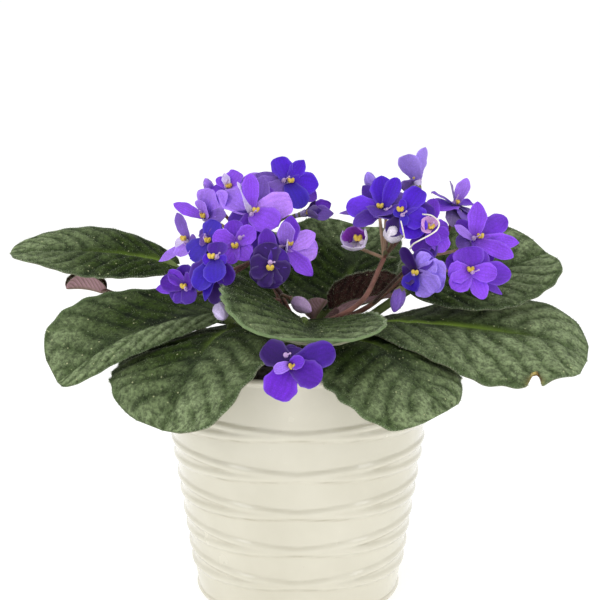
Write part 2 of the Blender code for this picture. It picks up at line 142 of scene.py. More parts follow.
# name, seat azimuth, seat height, side azimuth, rib points, half widths (left, right),
# left slopes (at rib, at margin), right slopes, widest, bluntness
LEAVES = (
    ("leaf_left_upper", 160, 17, 172,
     ((-69, 25, 166), (-84, 25, 169), (-105, 24, 172), (-128, 20, 173), (-150, 14, 172)),
     (26, 24), ((-12, -14, -8), (-25, -30, -10)), ((18, 28, 25), (10, 18, 10)), 1.0, 2.3),
    ("leaf_left", 196, 21, 190,
     ((-36, -18, 147), (-60, -26, 144), (-87, -36, 135), (-114, -42, 116.5)),
     (13, 37), ((-12, -15, -20), (-40, -70, -40)), ((3, 21, 45), (10, 36, 60)), 1.2, 2.6),
    ("leaf_front_left", 228, 14, 245,
     ((-33, -15, 138), (-42, -43, 135), (-52, -64, 120), (-60, -74, 102)),
     (37, 46), ((5, 10, 15), (-15, 0, 27)), ((-8, -6, 5), (-15, -12, -10)), 1.0, 2.6),
    ("leaf_front", 265, 22, 268,
     ((3, -19, 142), (4, -35, 143), (8, -60, 143.5), (11, -82, 142)),
     (33, 46), ((-5, 0, 5), (12, 17, 16)), ((38, 20, 8), (32, 30, 16)), 0.9, 3.0),
    ("leaf_front_right", 312, 13, 315,
     ((28, -24, 134), (42, -45, 133), (56, -62, 121), (67, -70, 110)),
     (36, 43), ((2, 5, 5), (-8, -15, -20)), ((4, 1, 0), (-8, -30, -18)), 0.96, 2.7),
    ("leaf_right", 352, 15, -3,
     ((42, -7.5, 140), (74, -12, 139.5), (104, -16, 136), (127, -20, 132), (142, -24, 123)),
     (38, 41), ((-4, 22, 17), (-12, 13, 19)), ((3, -23, -11), (-3, -36, -27)), 1.12, 3.2),
    ("leaf_right_back", 10, 20, 15,
     ((64, 14, 156), (86, 17, 159), (111, 22, 164), (133, 28, 171)),
     (35, 34), ((40, 40, 35), (50, 45, 30)), ((-15, -15, -5), (-30, -30, -10)), 1.2, 2.5),
    ("leaf_centre_back", 62, 22, 66,
     ((20, 12, 148), (26, 24, 156), (32, 40, 168), (36, 53, 183)),
     (42, 27), ((10, 22, 30), (22, 36, 38)), ((10, 5, 0), (10, 5, 0)), 0.95, 2.6),
    ("leaf_left_curled", 180, 15, 165,
     ((-103, 16, 152.5), (-109, 16, 153.5), (-115, 15, 154), (-121, 12, 154)),
     (9, 9), ((35, 45, 45), (65, 78, 65)), ((35, 45, 45), (65, 78, 65)), 0.9, 2.4),
    ("leaf_back_left", 135, 15, 132,
     ((-28, 30, 134), (-46, 50, 137), (-62, 68, 133), (-74, 82, 122)),
     (32, 32), ((5, 5, 0), (5, -10, -20)), ((5, 5, 0), (5, -10, -20)), 0.95, 2.5),
    ("leaf_back", 108, 22, 110,
     ((-9, 23, 148), (-14, 36, 158), (-20, 49, 168), (-24, 60, 180)),
     (28, 24), ((10, 12, 10), (15, 20, 10)), ((5, 5, 5), (5, 5, 0)), 0.95, 2.5),
    ("leaf_back_right", 48, 12, 48,
     ((21, 19, 143), (35, 32, 150), (49, 46, 157), (60, 58, 164)),
     (28, 18), ((5, 5, 0), (5, 0, -10)), ((5, 5, 0), (5, 0, -10)), 0.95, 2.5),
    ("leaf_young_left", 295, 23.5, 300,
     ((8, -6, 142), (11, -8, 146), (14, -9, 151)),
     (4, 8), ((20, 20, 10), (40, 50, 30)), ((20, 20, 10), (30, 35, 30)), 0.9, 2.2),
    ("leaf_young_right", 349, 24.5, 0,
     ((20, -1, 144.5), (28, 0, 147.5), (42, 0, 150.5), (55, -1, 153)),
     (15, 1), ((75, 76, 75), (80, 82, 80)), ((45, 45, 40), (60, 60, 50)), 0.9, 2.6),
)
YOUNG = ("leaf_young_left", "leaf_young_right", "leaf_left_curled")
# Brightness of the midrib, share of the blade that it reaches, brightness of the margin, and the painted
# light (above zero) and painted shade (below zero) on the left and the right half
LEAF_MARKS = {"leaf_left_upper": (0.45, 0.60, 0.30, -0.25, 0.0),
              "leaf_left": (0.10, 0.20, 0.50, 0.90, -0.28),
              "leaf_front_left": (0.75, 0.50, 0.35, 0.05, -0.32),
              "leaf_front": (0.30, 0.40, 0.95, -0.20, -0.35),
              "leaf_front_right": (0.70, 0.45, 0.55, -0.15, -0.10),
              "leaf_right": (0.80, 0.75, 0.35, 0.35, 0.60),
              "leaf_right_back": (0.30, 0.50, 0.30, 0.10, 0.10),
              "leaf_centre_back": (0.85, 0.55, 0.30, -0.45, -0.45),
              "others": (0.50, 0.60, 0.35, -0.10, -0.10)}

# Colours of petals and stems as they look in soft light, with the shade and light on each part painted in,
# red, green and blue up to 255
TONES = {
    "deep": (76, 24, 200), "bright": (140, 74, 236), "light": (186, 132, 252),
    "lilac": (162, 116, 238), "pale": (218, 202, 247), "violet": (108, 48, 200),
    "dusk": (118, 84, 184), "dark": (50, 12, 100), "blue": (58, 28, 178),
    "periwinkle": (156, 126, 238), "grey": (134, 114, 168), "pink": (212, 158, 220),
    "magenta": (140, 60, 185), "mauve": (190, 158, 205), "white": (236, 226, 242),
    "cream": (235, 228, 214), "brown": (104, 64, 54), "umber": (62, 38, 34),
    "salmon": (150, 102, 90), "tan": (182, 148, 120), "olive": (112, 112, 68),
    "indigo": (70, 24, 150), "purple": (106, 38, 200),
    "plum": (86, 32, 168), "royal": (104, 50, 226), "shade": (84, 50, 160),
}
# Colours of the other finishes, as shares of the red, green and blue light
PAINTS = {
    "enamel_dull": (0.62, 0.59, 0.475), "enamel_light": (0.69, 0.66, 0.545),
    # The first colour on the next line is the painted shade beside the pot's rib beads
    "rib_shade": (0.30, 0.25, 0.15), "fleck": (0.45, 0.38, 0.27), "fuzz": (0.24, 0.33, 0.14),
    "speck": (0.60, 0.62, 0.34), "rust": (0.22, 0.10, 0.03), "dry_leaf": (0.62, 0.50, 0.16),
    "hair_green": (0.20, 0.27, 0.11), "hair_pale": (0.56, 0.64, 0.42),
    "petal_rim": (0.70, 0.60, 0.95), "petal_back": (0.40, 0.28, 0.70),
    "stem_green": (0.16, 0.20, 0.07), "soil_peat_dark": (0.012, 0.008, 0.006),
    "soil_peat_light": (0.05, 0.032, 0.02), "soil_crumbs_dark": (0.02, 0.012, 0.008),
    "soil_crumbs_light": (0.09, 0.06, 0.04), "crown_stem_dark": (0.05, 0.06, 0.02),
    "crown_stem_light": (0.13, 0.16, 0.05), "anther_yellow_dark": (0.62, 0.40, 0.03),
    "anther_yellow_light": (0.88, 0.68, 0.12),
}
# Leaf colours: painted shade in the vein valleys and painted sheen on the raised parts by the foot, the
# same further out with more painted sheen, underside, margin, midrib
VELVETS = {
    "leaf_velvet": (((0.004, 0.011, 0.001), (0.028, 0.052, 0.005)),
                    ((0.066, 0.098, 0.036), (0.215, 0.275, 0.138)),
                    (0.26, 0.25, 0.18), (0.17, 0.25, 0.11), (0.25, 0.40, 0.05)),
    "leaf_young_velvet": (((0.018, 0.004, 0.004), (0.050, 0.018, 0.015)),
                          ((0.040, 0.014, 0.012), (0.085, 0.042, 0.034)),
                          (0.40, 0.24, 0.27), (0.18, 0.13, 0.09), (0.12, 0.07, 0.03)),
}

# Flowers: name, slot, centre, facing, anthers and pistil from the centre (right, up), depth,
# petals. Petal: angle, length, width, lift, curl, cup, pointedness, tone and perhaps a twist
FLOWERS = (
    ("flower_l01", "petal_deep", (-5, 4, 209), (0.20, -0.88, 0.42), (1.2, 0.4), (-2.4, 0.6), 15, (
        (110, 14, 11.5, 12, -10, 0.15, -0.2, "deep"), (52, 14.5, 8.5, 10, 0, 0.15, 0.7, "deep"),
        (350, 15.5, 13, 10, 0, 0.1, 0.3, "deep"), (290, 16, 13, 25, -40, 0.1, 0.0, "blue"),
        (222, 15, 14, 10, -20, 0.1, 0, "dusk"), (192, 21, 13, -5, 0, 0.1, 0.3, "dusk"),
        (160, 17, 7, -8, 0, 0.1, 0.9, "dusk"), (180, 26, 14, -14, 0, 0.1, 0.1, "lilac"),
        (330, 17, 10, -8, 0, 0.1, 0.4, "violet"), (262, 13, 13, 5, -20, 0.1, 0.1, "dusk"))),
    ("flower_l02", "petal_bright", (-22.5, -22, 195), (0.05, -0.90, 0.44), (2.4, 1.2), (0.2, -1.0), 16, (
        (91, 19.5, 8.5, 18, -10, 0.3, 0.1, "bright"), (74, 22, 12.5, -5, -5, 0.1, 0.8, "dusk"),
        (115, 16.5, 6.5, 20, 0, 0.1, 0.3, "pale", 65), (14, 20.5, 14.5, 8, 0, 0.1, -0.4, "light"),
        (322, 17.5, 15, 35, -20, 0.1, 0.1, "bright"), (290, 15, 8, 10, -10, 0.1, 0.2, "dusk"),
        (138, 20, 12, -12, 0, 0.1, 0.2, "lilac"), (58, 19, 13, -14, 0, 0.1, 0.2, "violet"),
        (265, 13, 14, -10, -10, 0.1, 0, "violet"), (205, 12, 10, -12, 0, 0.1, 0, "indigo"))),
    ("flower_l03", "petal_bright", (-46.5, -4, 192), (-0.55, -0.75, 0.35), (0.2, 0.4), (-1.6, 1.4), 16, (
        (165, 21, 6.5, 5, 10, 0.2, 0.5, "bright"), (61, 9.5, 12.5, 45, 0, 0.2, 0, "lilac"),
        (66, 15, 18, 20, 0, 0.1, 0.3, "lilac"), (28, 22, 12.5, 20, 0, 0.1, 0, "lilac"),
        (357, 21, 8.5, 20, 0, 0.1, 0, "dusk"))),
    ("flower_l04", "petal_lilac", (-53.5, -13, 180), (-0.60, -0.75, 0.25), (-2.8, 1.8), (-0.4, -0.6), 12, (
        (209, 22, 5.5, 0, 0, 0.2, 0.8, "lilac"), (200, 7.5, 8, 20, 0, 0.2, 0, "pale"),
        (275, 9, 12, 30, 0, 0.2, 0, "lilac"), (127, 18, 7, 0, 10, 0.2, 0.3, "dusk"),
        (19, 7.5, 6, 20, 0, 0.2, 0, "dusk"))),
    ("flower_l05", "petal_bright", (-29, -36, 182), (-0.05, -0.97, 0.25), (-0.4, -1.4), (2.0, 2.4), 11, (
        (98, 11, 9.5, 12, -5, 0.3, 0, "violet"), (165, 11.5, 9.5, 20, -10, 0.3, 0, "bright"),
        (245, 11, 10, 15, -10, 0.3, -0.2, "bright"), (312, 11, 9.5, 15, 0, 0.3, 0.2, "bright"),
        (32, 12, 9.5, 20, 0, 0.3, 0, "bright"))),
    ("flower_l06", "petal_bright", (-5.5, -32, 178.5), (0.25, -0.92, 0.22), (1.4, 3.0), (-2.6, 1.4), 16, (
        (80, 16.5, 10, 10, 0, 0.25, 0.6, "violet"), (100, 15, 9, 30, 10, 0.25, 0.3, "lilac"),
        (28, 16.5, 9, 0, 0, 0.1, 0.4, "light"), (1, 16, 13, -5, 0, 0.1, 0, "light"),
        (312, 17.5, 9, 5, 0, 0.15, 0.7, "bright"), (175, 11, 8, 72, 12, 0.1, 0.1, "pale"),
        (158, 17, 13, -14, 0, 0.1, 0, "indigo"), (205, 13, 12, -14, 0, 0.1, 0, "dark"))),
    ("flower_l07", "petal_deep", (-13, -47, 172.5), (-0.02, -0.97, 0.05), (0.4, -0.6), (0.4, 1.8), 11, (
        (183, 9, 12, 25, -35, 0.15, -0.2, "dark"), (233, 10, 12, 15, -30, 0.15, -0.2, "dark"),
        (272, 10.5, 12, 10, -25, 0.1, -0.2, "dark"), (332, 10, 12, 10, -20, 0.1, 0, "dark"),
        (100, 11, 13, 0, 0, 0.1, 0, "dark"), (40, 10, 11, -4, 0, 0.1, 0, "indigo"),
        (140, 10, 11, -4, 0, 0.1, 0, "indigo"), (96, 18, 9, -14, 0, 0.1, 0.3, "plum"))),
    ("flower_l08", "petal_bright", (-53, -38, 161.5), (-0.45, -0.85, 0.25), (0.2, 0.2), (1.6, -1.0), 12, (
        (133, 11, 7.5, 20, 20, 0.3, 0.3, "violet"), (81, 11, 11, 0, 30, 0.3, 0, "indigo"),
        (171, 12, 8.5, 15, 30, 0.3, 0, "plum"), (186, 18, 6, 0, -10, 0.2, 0.8, "violet"),
        (318, 10, 10, 20, -20, 0.2, 0.2, "indigo"), (30, 11, 9, 20, 30, 0.3, 0, "plum"),
        (232, 9, 9, 15, -20, 0.2, 0, "indigo"), (275, 8, 12, 5, -20, 0.2, 0, "plum"))),
    ("flower_l09", "petal_deep", (-43.5, -22, 181.5), (-0.45, -0.75, 0.48), (1.0, 0.0), (-1.0, 1.0), 10, (
        (231, 12.5, 15, 30, -60, 0.0, 0, "blue"), (72, 11, 12.5, 10, 0, 0.2, 0, "blue"),
        (35, 10, 11.5, 0, 0, 0.2, 0, "indigo"), (327, 7, 7.5, 0, 0, 0.2, 0, "dark"),
        (182, 4, 7, 40, 0, 0.2, 0, "dusk"), (0, 12, 10, -10, 0, 0.1, 0, "dark"),
        (120, 10, 9, -8, 0, 0.1, 0, "shade"), (290, 13, 12, 0, -10, 0.1, 0, "indigo"))),
    ("flower_l10", "petal_lilac", (-35, 2, 206), (-0.2, -0.55, 0.8), (0.4, 0.2), (-1.0, 0.0), 8, (
        (160, 8, 6.5, 40, 0, 0.2, 0, "bright"), (116, 8, 4.5, 50, 0, 0.2, 0.7, "pale"),
        (295, 8.5, 6, 0, -10, 0.2, 0, "pale"), (61, 10, 12, 35, -10, 0.1, -0.3, "bright"),
        (348, 10.5, 12, 20, 0, 0.1, 0.3, "lilac"), (268, 17, 11, 0, -10, 0.1, 0.1, "lilac"),
        (238, 15, 9, -6, 0, 0.1, 0.4, "violet"), (305, 17, 10, -8, 0, 0.1, 0.2, "dusk"),
        (185, 11, 7, -4, 0, 0.1, 0.5, "violet"))),
    ("flower_l11", "petal_deep", (4, 14, 193), (0.8, -0.45, 0.25), (0.0, 0.0), (0.6, 0.6), 10, (
        (341, 15, 9, 50, -10, 0.2, 0.9, "dusk"), (10, 15, 9, 45, -10, 0.2, 0.7, "violet"),
        (57, 8, 4.5, 40, 0, 0.2, 0.9, "dark"), (173, 13, 4.5, 60, 0, 0.2, 0.4, "dusk"),
        (204, 14, 5.5, 50, 0, 0.2, 0.4, "dusk"), (190, 12, 4, 70, 0, 0.2, 0.5, "dusk"))),
    ("flower_l12", "petal_deep", (-38, -46, 175.5), (-0.15, -0.85, 0.5), (-1.6, 0.8), (1.0, 0.6), 12, (
        (252, 18, 11.5, 20, -20, 0.2, 0, "blue"), (282, 15, 11, 35, -30, 0.1, 0, "blue"),
        (264, 21, 5, 0, 0, 0.2, 0.5, "blue"), (205, 6, 7, 20, 0, 0.2, 0, "deep"),
        (338, 7, 6.5, 20, 0, 0.2, 0, "deep"), (225, 15, 11, -6, -10, 0.2, 0, "indigo"),
        (273, 21, 9, -9, -10, 0.2, 0, "dark"), (305, 14, 10, -6, -10, 0.2, 0, "indigo"),
        (85, 9, 10, -5, 0, 0.2, 0, "indigo"))),
    ("flower_front", "petal_bright", (-3, -88, 135), (-0.05, -0.95, 0.30), (1.0, -0.8), (-2.0, 4.0), 18, (
        (246, 16, 15, 15, -25, 0.1, -0.3, "purple"), (333, 15, 12.5, 15, -20, 0.1, 0, "plum"),
        (146, 14, 12, 4, -5, 0.1, -0.3, "dark"), (19, 20, 12, 5, -5, 0.1, -0.2, "indigo"),
        (58, 8, 13, -6, -5, 0.1, -0.3, "dark"), (98, 7.5, 13, -6, -5, 0.1, -0.3, "dark"),
        (205, 8.5, 5, 55, -60, 0.6, -0.3, "lilac"), (12, 8.5, 6, 55, -30, 0.6, -0.3, "violet"))),
    ("flower_r01", "petal_deep", (42.5, -14, 196.5), (-0.12, -0.90, 0.42), (-2.2, 1.2), (1.4, -0.8), 16, (
        (180, 19, 12.5, 5, 5, 0.2, 0, "royal"), (98, 17, 12.5, 12, -5, 0.2, 0.5, "deep"),
        (67, 16.5, 8.5, 25, -10, 0.3, 0, "deep"), (300, 11, 15, 48, 10, 0.2, 0, "shade"),
        (248, 11, 16, 40, 10, 0.2, 0, "shade"), (213, 18, 8.5, 15, -10, 0.1, 0.3, "shade"),
        (130, 18, 9, -8, 0, 0.1, 0.6, "indigo"), (35, 14, 10, -8, 0, 0.1, 0.2, "dusk"),
        (182, 23, 4, -10, 0, 0.1, 0.7, "dusk"))),
    ("flower_r02", "petal_deep", (51, -24, 195), (-0.15, -0.85, 0.5), (-1.8, 1.6), (-0.6, -1.6), 12, (
        (59, 15, 11.5, 10, -10, 0.3, -0.2, "deep"), (334, 11, 12.5, 15, -30, 0.2, -0.2, "deep"),
        (277, 8.5, 4.5, 30, -20, 0.2, 0.3, "blue"), (185, 5.5, 5, 20, 0, 0.2, 0, "blue"),
        (100, 7, 4, 25, 0, 0.2, 0, "deep"), (305, 14, 14, -4, -10, 0.2, 0, "deep"),
        (10, 15, 11, -8, 0, 0.1, 0.1, "indigo"), (240, 13, 10, -8, 0, 0.1, 0.2, "dark"))),
    ("flower_r03", "petal_lilac", (61, 8, 209.5), (-0.1, 0.45, 0.89), (0.6, 0.0), (-1.0, 0.6), 12, (
        (39, 15.5, 12, 45, 0, 0.3, -0.3, "periwinkle"), (117, 17.5, 9, 60, 0, 0.3, 0.4, "periwinkle"),
        (78, 12.5, 5, 50, 0, 0.2, 0, "periwinkle"), (316, 9, 11, 0, -30, 0.2, 0, "dusk"),
        (260, 16, 9.5, 50, 0, 0.2, 0, "lilac"))),
    ("flower_r05", "petal_bright", (80, 4, 197.5), (0.25, -0.2, 0.95), (0.6, 0.0), (-1.0, 0.6), 11, (
        (124, 13, 8, 60, 0, 0.2, 0.5, "grey"), (18, 16, 7.5, 55, 0, 0.3, 0.5, "lilac"),
        (320, 9, 13, 15, 0, 0.2, 0.2, "violet"), (170, 14, 16, 0, -20, 0.2, 0, "bright"),
        (213, 18, 9, -10, -30, 0.1, 0, "grey"), (255, 15, 12, -10, -20, 0.1, 0.1, "dusk"),
        (290, 13, 10, 0, -30, 0.1, 0.2, "shade"), (150, 16, 10, 20, -10, 0.1, 0.1, "violet"))),
    ("flower_r06", "petal_bright", (86.5, -14, 181.5), (0.15, -0.92, 0.36), (3.0, 1.6), (-0.4, 0.6), 16, (
        (84, 19, 10, 20, -5, 0.4, 0.5, "bright"), (32, 21, 11, 5, -5, 0.2, 0.1, "violet"),
        (354, 22.5, 8.5, 5, 0, 0.2, 0.6, "bright"), (330, 21, 9, 18, -10, 0.1, 0.2, "bright"),
        (152, 14, 5, 25, 0, 0.1, 0.6, "lilac"), (302, 14, 11, 5, -10, 0.1, 0.1, "violet"),
        (190, 9, 9, -10, 0, 0.1, 0, "dusk"), (120, 13, 9, -10, 0, 0.1, 0.3, "violet"))),
    ("flower_r07", "petal_bright", (83, -27, 167.5), (0.05, -0.95, 0.30), (-0.2, 0.8), (0.8, -0.6), 15, (
        (101, 12, 16, 20, -10, 0.2, -0.3, "violet"), (222, 14, 11, 20, -10, 0.2, 0, "bright"),
        (292, 15, 9, 12, -10, 0.2, 0.2, "bright"), (355, 20, 12, 5, -10, 0.15, 0.2, "violet"),
        (348, 13, 10, 35, -20, 0.2, 0, "bright"), (327, 20, 4.5, -15, 0, 0.1, 0.5, "violet"),
        (62, 13, 13, 0, -10, 0.1, 0, "violet"), (150, 13, 11, 5, -10, 0.2, 0, "violet"),
        (188, 12, 11, 18, -10, 0.3, 0, "bright"))),
    ("flower_r08", "petal_bright", (56.5, -33, 168), (-0.55, -0.80, -0.1), (0.2, 0.2), (-0.8, -0.6), 10, (
        (350, 14, 17, -8, -20, 0.15, -0.4, "periwinkle"), (312, 13, 15, 0, -20, 0.15, -0.3, "periwinkle"),
        (249, 9.5, 10, 20, -30, 0.3, 0, "blue"), (200, 7, 10, 20, -20, 0.3, 0, "dark"),
        (112, 14, 7, 20, -10, 0.2, 0.1, "dark"), (62, 12, 11, -8, -10, 0.1, 0, "indigo"),
        (150, 6, 8, 5, -10, 0.2, 0, "dark"), (40, 11, 13, 0, -20, 0.1, -0.2, "periwinkle"))),
    ("flower_r09", "petal_lilac", (63.5, -26, 188), (-0.05, -0.85, 0.5), (0.2, 0.4), (-0.8, 0.4), 7, (
        (149, 7.5, 7, 45, 10, 0.3, 0, "pink"), (74, 6, 6, 40, 10, 0.3, 0, "pink"),
        (213, 6.5, 6, 35, 0, 0.3, 0, "pink"), (327, 9.5, 8.5, 15, -20, 0.1, 0, "violet"),
        (279, 10, 7.5, 15, -20, 0.1, 0, "violet"), (84, 17, 7.5, -5, 0, 0.1, 0, "violet"),
        (10, 9, 9, -6, -10, 0.1, 0, "violet"), (240, 14, 11, -6, -10, 0.1, 0, "plum"),
        (262, 16, 10, -14, -10, 0.1, 0, "shade"), (305, 13, 10, -6, -20, 0.1, 0, "bright"))),
)

# Half open bud, built of petals as the flowers are
OPEN_BUD = "bud_globe"
GLOBE_PETALS = (
    (0, 13, 11, 10, 95, 0.35, -0.2, "white"), (72, 12, 10, 15, 95, 0.35, -0.2, "magenta"),
    (135, 12, 10, 15, 95, 0.35, -0.2, "magenta"), (200, 13, 11, 10, 95, 0.35, -0.2, "pale"),
    (270, 13, 12, 5, 100, 0.35, -0.2, "white"),
)
# Places (turn, share of the length) of the dark spots on one bud
SPOTTED_BUD = "bud_white"
BUD_SPOTS = ((1.2, 0.62), (1.9, 0.7), (2.6, 0.6), (0.4, 0.75), (1.5, 0.8), (2.2, 0.86))

BUDS = (
    ("bud_globe", (29.5, -12, 179.5), (-0.25, -0.85, 0.45), 13, 6.2, "white"),
    ("bud_white", (46, -20, 183), (0.0, -0.8, 0.6), 9, 5.0, "white"),
    ("bud_left", (-37.5, -36, 153), (0.25, -0.85, -0.45), 12, 4.0, "pale"),
    ("bud_centre", (-3, -22, 153.5), (0.75, -0.35, -0.45), 12, 4.0, "mauve"),
    ("bud_right", (50, -27, 160), (-0.3, -0.3, -0.9), 13, 3.6, "dusk"),
    ("bud_upper_left", (-44, 8, 204), (-0.4, -0.2, 0.9), 8, 2.6, "lilac"),
    ("bud_upper_right", (38, 6, 206), (-0.3, -0.1, 0.9), 9, 3.2, "periwinkle"),
    ("bud_top_right", (49, 6, 204), (0.1, -0.2, 0.9), 8, 2.8, "pale"),
)

# name, seat azimuth, seat height, path points, tone, parts carried: (name, path point, tone)
STALKS = (
    ("stalk_left_front", 222, 25.0, ((-7, -5, 150), (-13, -7, 160), (-20, -12, 172)), "umber",
     (("flower_l05", 3, "tan"), ("flower_l07", 3, "brown"), ("flower_l12", 3, "brown"),
      ("flower_l08", 3, "brown"), ("bud_left", 1, "brown"), ("flower_l02", 3, "tan"),
      ("flower_l06", 3, "tan"))),
    ("stalk_left_back", 180, 25.0, ((-10, 0, 152), (-18, 6, 166), (-24, 6, 178)), "brown",
     (("flower_l01", 3, "tan"), ("flower_l03", 3, "tan"), ("flower_l04", 3, "brown"),
      ("flower_l09", 3, "brown"), ("flower_l10", 3, "tan"), ("flower_l11", 3, "olive"),
      ("bud_upper_left", 3, "brown"))),
    ("stalk_right_front", 318, 25.0, ((19, -9, 142), (33, -11, 152), (43, -8, 172)), "salmon",
     (("flower_r01", 3, "tan"), ("flower_r02", 3, "brown"), ("flower_r03", 3, "brown"),
      ("bud_globe", 3, "tan"), ("bud_white", 3, "brown"), ("bud_upper_right", 3, "tan"),
      ("bud_top_right", 3, "brown"))),
    ("stalk_right_back", 20, 25.0, ((20, 2, 139), (38, -2, 148), (62, -6, 172)), "brown",
     (("flower_r05", 3, "brown"), ("flower_r06", 3, "tan"), ("flower_r07", 3, "tan"),
      ("flower_r08", 3, "brown"), ("flower_r09", 3, "brown"), ("bud_right", 2, "umber"))),
    ("stalk_centre", 265, 25.5, ((-6, -11, 149), (-8, -18, 154.5)), "brown", (("bud_centre", 1, "brown"),)),
    ("stalk_front", 280, 12, ((0, -30, 131), (-4, -50, 129), (-2, -68, 127.5)), "brown",
     (("flower_front", 3, "brown"),)),
)
# Two dry white filaments that curl in front of one flower
CURLED_FLOWER = "flower_r02"
CURLS = (((48.9, -30, 192.0), (49.4, -34, 188.6), (50.5, -33, 183.8)),
         ((59.0, -31, 195.3), (62.9, -35, 194.9), (66.0, -37, 192.1), (65.3, -38, 188.9),
          (62.4, -38, 186.5), (57.4, -37, 183.6), (54.3, -35, 181.5), (53.1, -33, 179.0)))
CURL_RADIUS = 0.36
PEDUNCLE_RADIUS = 1.5
PEDICEL_RADIUS = 0.8
LONGEST_BEND = 9.0
PETAL_ROWS = 16
PETAL_COLUMNS = 11
PETAL_THICKNESS = 0.3
ANTHER_SIZE = 0.85
OPEN_BUD_ANTHER_SIZE = 1.05
FILAMENT_RADIUS = 0.35
STYLE_RADIUS = 0.32
# Sepals: how many, width, thickness, and their length and opening on a flower
SEPALS = 5
SEPAL_WIDTH = 2.2
SEPAL_THICKNESS = 0.35
FLOWER_SEPALS = (5.5, 62)
BRACTS = 3
BRACT_THICKNESS = 0.4
BUD_ROWS = 26
BUD_COLUMNS = 40
PEDUNCLE_ROWS = 40
PEDICEL_ROWS = 28
LONE_STALK_ROWS = 44
CURL_ROWS = 30
# First seed of each kind of piece
SEEDS = {"soil": 11, "crown": 21, "leaf": 100, "flower": 400, "bud": 700, "stalk": 900}


# Vectors and paths

def unit(vectors):
    vectors = np.asarray(vectors, float)
    length = np.linalg.norm(vectors, axis=-1, keepdims=True)
    return vectors / np.maximum(length, 1e-9)


def square_to(vectors, directions):
    """Unit vectors square to the directions, turned from the given ones."""
    return unit(vectors - directions * (vectors * directions).sum(axis=-1, keepdims=True))


def circle(count):
    return 2 * math.pi * np.arange(count) / count


def ring_about(side, up, angles):
    """Directions at some angles between two square directions."""
    angles = np.asarray(angles, float)[..., None]
    return side * np.cos(angles) + up * np.sin(angles)


def level_points(radii, heights, angles):
    """Points round the pot's axis."""
    radii, heights = np.asarray(radii, float), np.asarray(heights, float)
    return ring_about(RIGHT, BACK, angles) * radii[..., None] + UP * heights[..., None]


def limited(values):
    return np.clip(values, 0, 1)


def bell(offset, width):
    return np.exp(-(offset / width) ** 2)


def ripple(points, size, seed, waves=9):
    """Smooth random field, mostly between -1 and 1, whose features are about size wide."""
    rng = np.random.default_rng(seed)
    directions = unit(rng.normal(size=(waves, 3)))
    lengths = size * rng.uniform(0.8, 2.0, waves)
    phases = rng.uniform(0, 2 * math.pi, waves)
    turns = (points @ directions.T) * (2 * math.pi / lengths) + phases
    return np.sin(turns).sum(axis=-1) / math.sqrt(waves)


def smooth_path(points, count):
    """Evenly spaced points on a smooth curve through the given points."""
    known = np.array(points, float)
    known = np.vstack([2 * known[0] - known[1], known, 2 * known[-1] - known[-2]])
    fine = []
    for a, b, c, d in zip(known[:-3], known[1:-2], known[2:-1], known[3:]):
        for s in np.arange(16) / 16:
            fine.append(0.5 * (2 * b + (c - a) * s + (2 * a - 5 * b + 4 * c - d) * s * s
                               + (3 * b - a - 3 * c + d) * s ** 3))
    fine = np.array([*fine, known[-2]])
    run = np.concatenate([[0], np.cumsum(np.linalg.norm(np.diff(fine, axis=0), axis=1))])
    places = np.linspace(0, run[-1], count)
    return np.stack([np.interp(places, run, fine[:, k]) for k in range(3)], axis=1)


def tangents(path):
    return unit(np.gradient(path, axis=0))


def carried_sides(path, side):
    """Side vectors along a path, turned as little as possible."""
    sides = []
    for direction in tangents(path):
        side = square_to(side, direction)
        sides.append(side)
    return np.array(sides)


def across_axes(facing):
    """A facing with the level side and the upward side square to it."""
    facing = unit(facing)
    side = np.cross(UP, facing)
    side = RIGHT if np.linalg.norm(side) < 0.05 else unit(side)
    return facing, side, np.cross(facing, side)


def grid_crosses(grid):
    return np.cross(np.gradient(grid, axis=0), np.gradient(grid, axis=1))


def grid_normals(grid, outwards):
    """Normals of a grid on the side that the given directions face."""
    normals = unit(grid_crosses(grid))
    return normals if (normals * outwards).sum() >= 0 else -normals


# Meshes

def put(name, data):
    item = bpy.data.objects.new(name, data)
    bpy.context.scene.collection.objects.link(item)
    return item


class Skin:
    """Closed shells of one piece, with numbers painted on their points for the materials."""

    def __init__(self):
        self.points = []
        self.faces = []
        self.marks = {}
        self.count = 0

    def add(self, points, faces, **marks):
        points = np.clip(np.asarray(points, float).reshape(-1, 3), *REACH)
        for name in dict.fromkeys((*self.marks, *marks)):
            values = np.asarray(marks.get(name, 0.0), float).reshape(-1)
            known = self.marks.setdefault(name, [np.zeros(self.count)])
            known.append(np.broadcast_to(values, (len(points),)))
        for block in faces:
            self.faces.extend((np.asarray(block) + self.count).tolist())
        self.points.append(points)
        self.count += len(points)

    def piece(self, name, material, stands_for=(), smooth=True):
        mesh = bpy.data.meshes.new(name)
        mesh.from_pydata((np.vstack(self.points) * MM).tolist(), [], self.faces)
        mesh.polygons.foreach_set("use_smooth", [smooth] * len(mesh.polygons))
        mesh.materials.append(material)
        for mark, values in self.marks.items():
            layer = mesh.attributes.new(mark, "FLOAT", "POINT")
            layer.data.foreach_set("value", np.concatenate(values).astype(np.float32))
        mesh.update()
        item = put(name, mesh)
        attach(item, "root")
        if stands_for:
            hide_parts(*stands_for)


def loop_faces(rings, count):
    """Quads of a skin over rings of count points."""
    ring, k = np.meshgrid(np.arange(rings - 1), np.arange(count), indexing="ij")
    a = (ring * count + k).ravel()
    b = (ring * count + (k + 1) % count).ravel()
    return np.stack([a, b, b + count, a + count], axis=1)


def cap_faces(start, count, centre, flip):
    """Triangles from a ring to the point that closes it."""
    k = np.arange(count)
    a, b = start + k, start + (k + 1) % count
    ends = (b, a) if flip else (a, b)
    return np.stack([np.full(count, centre), *ends], axis=1)


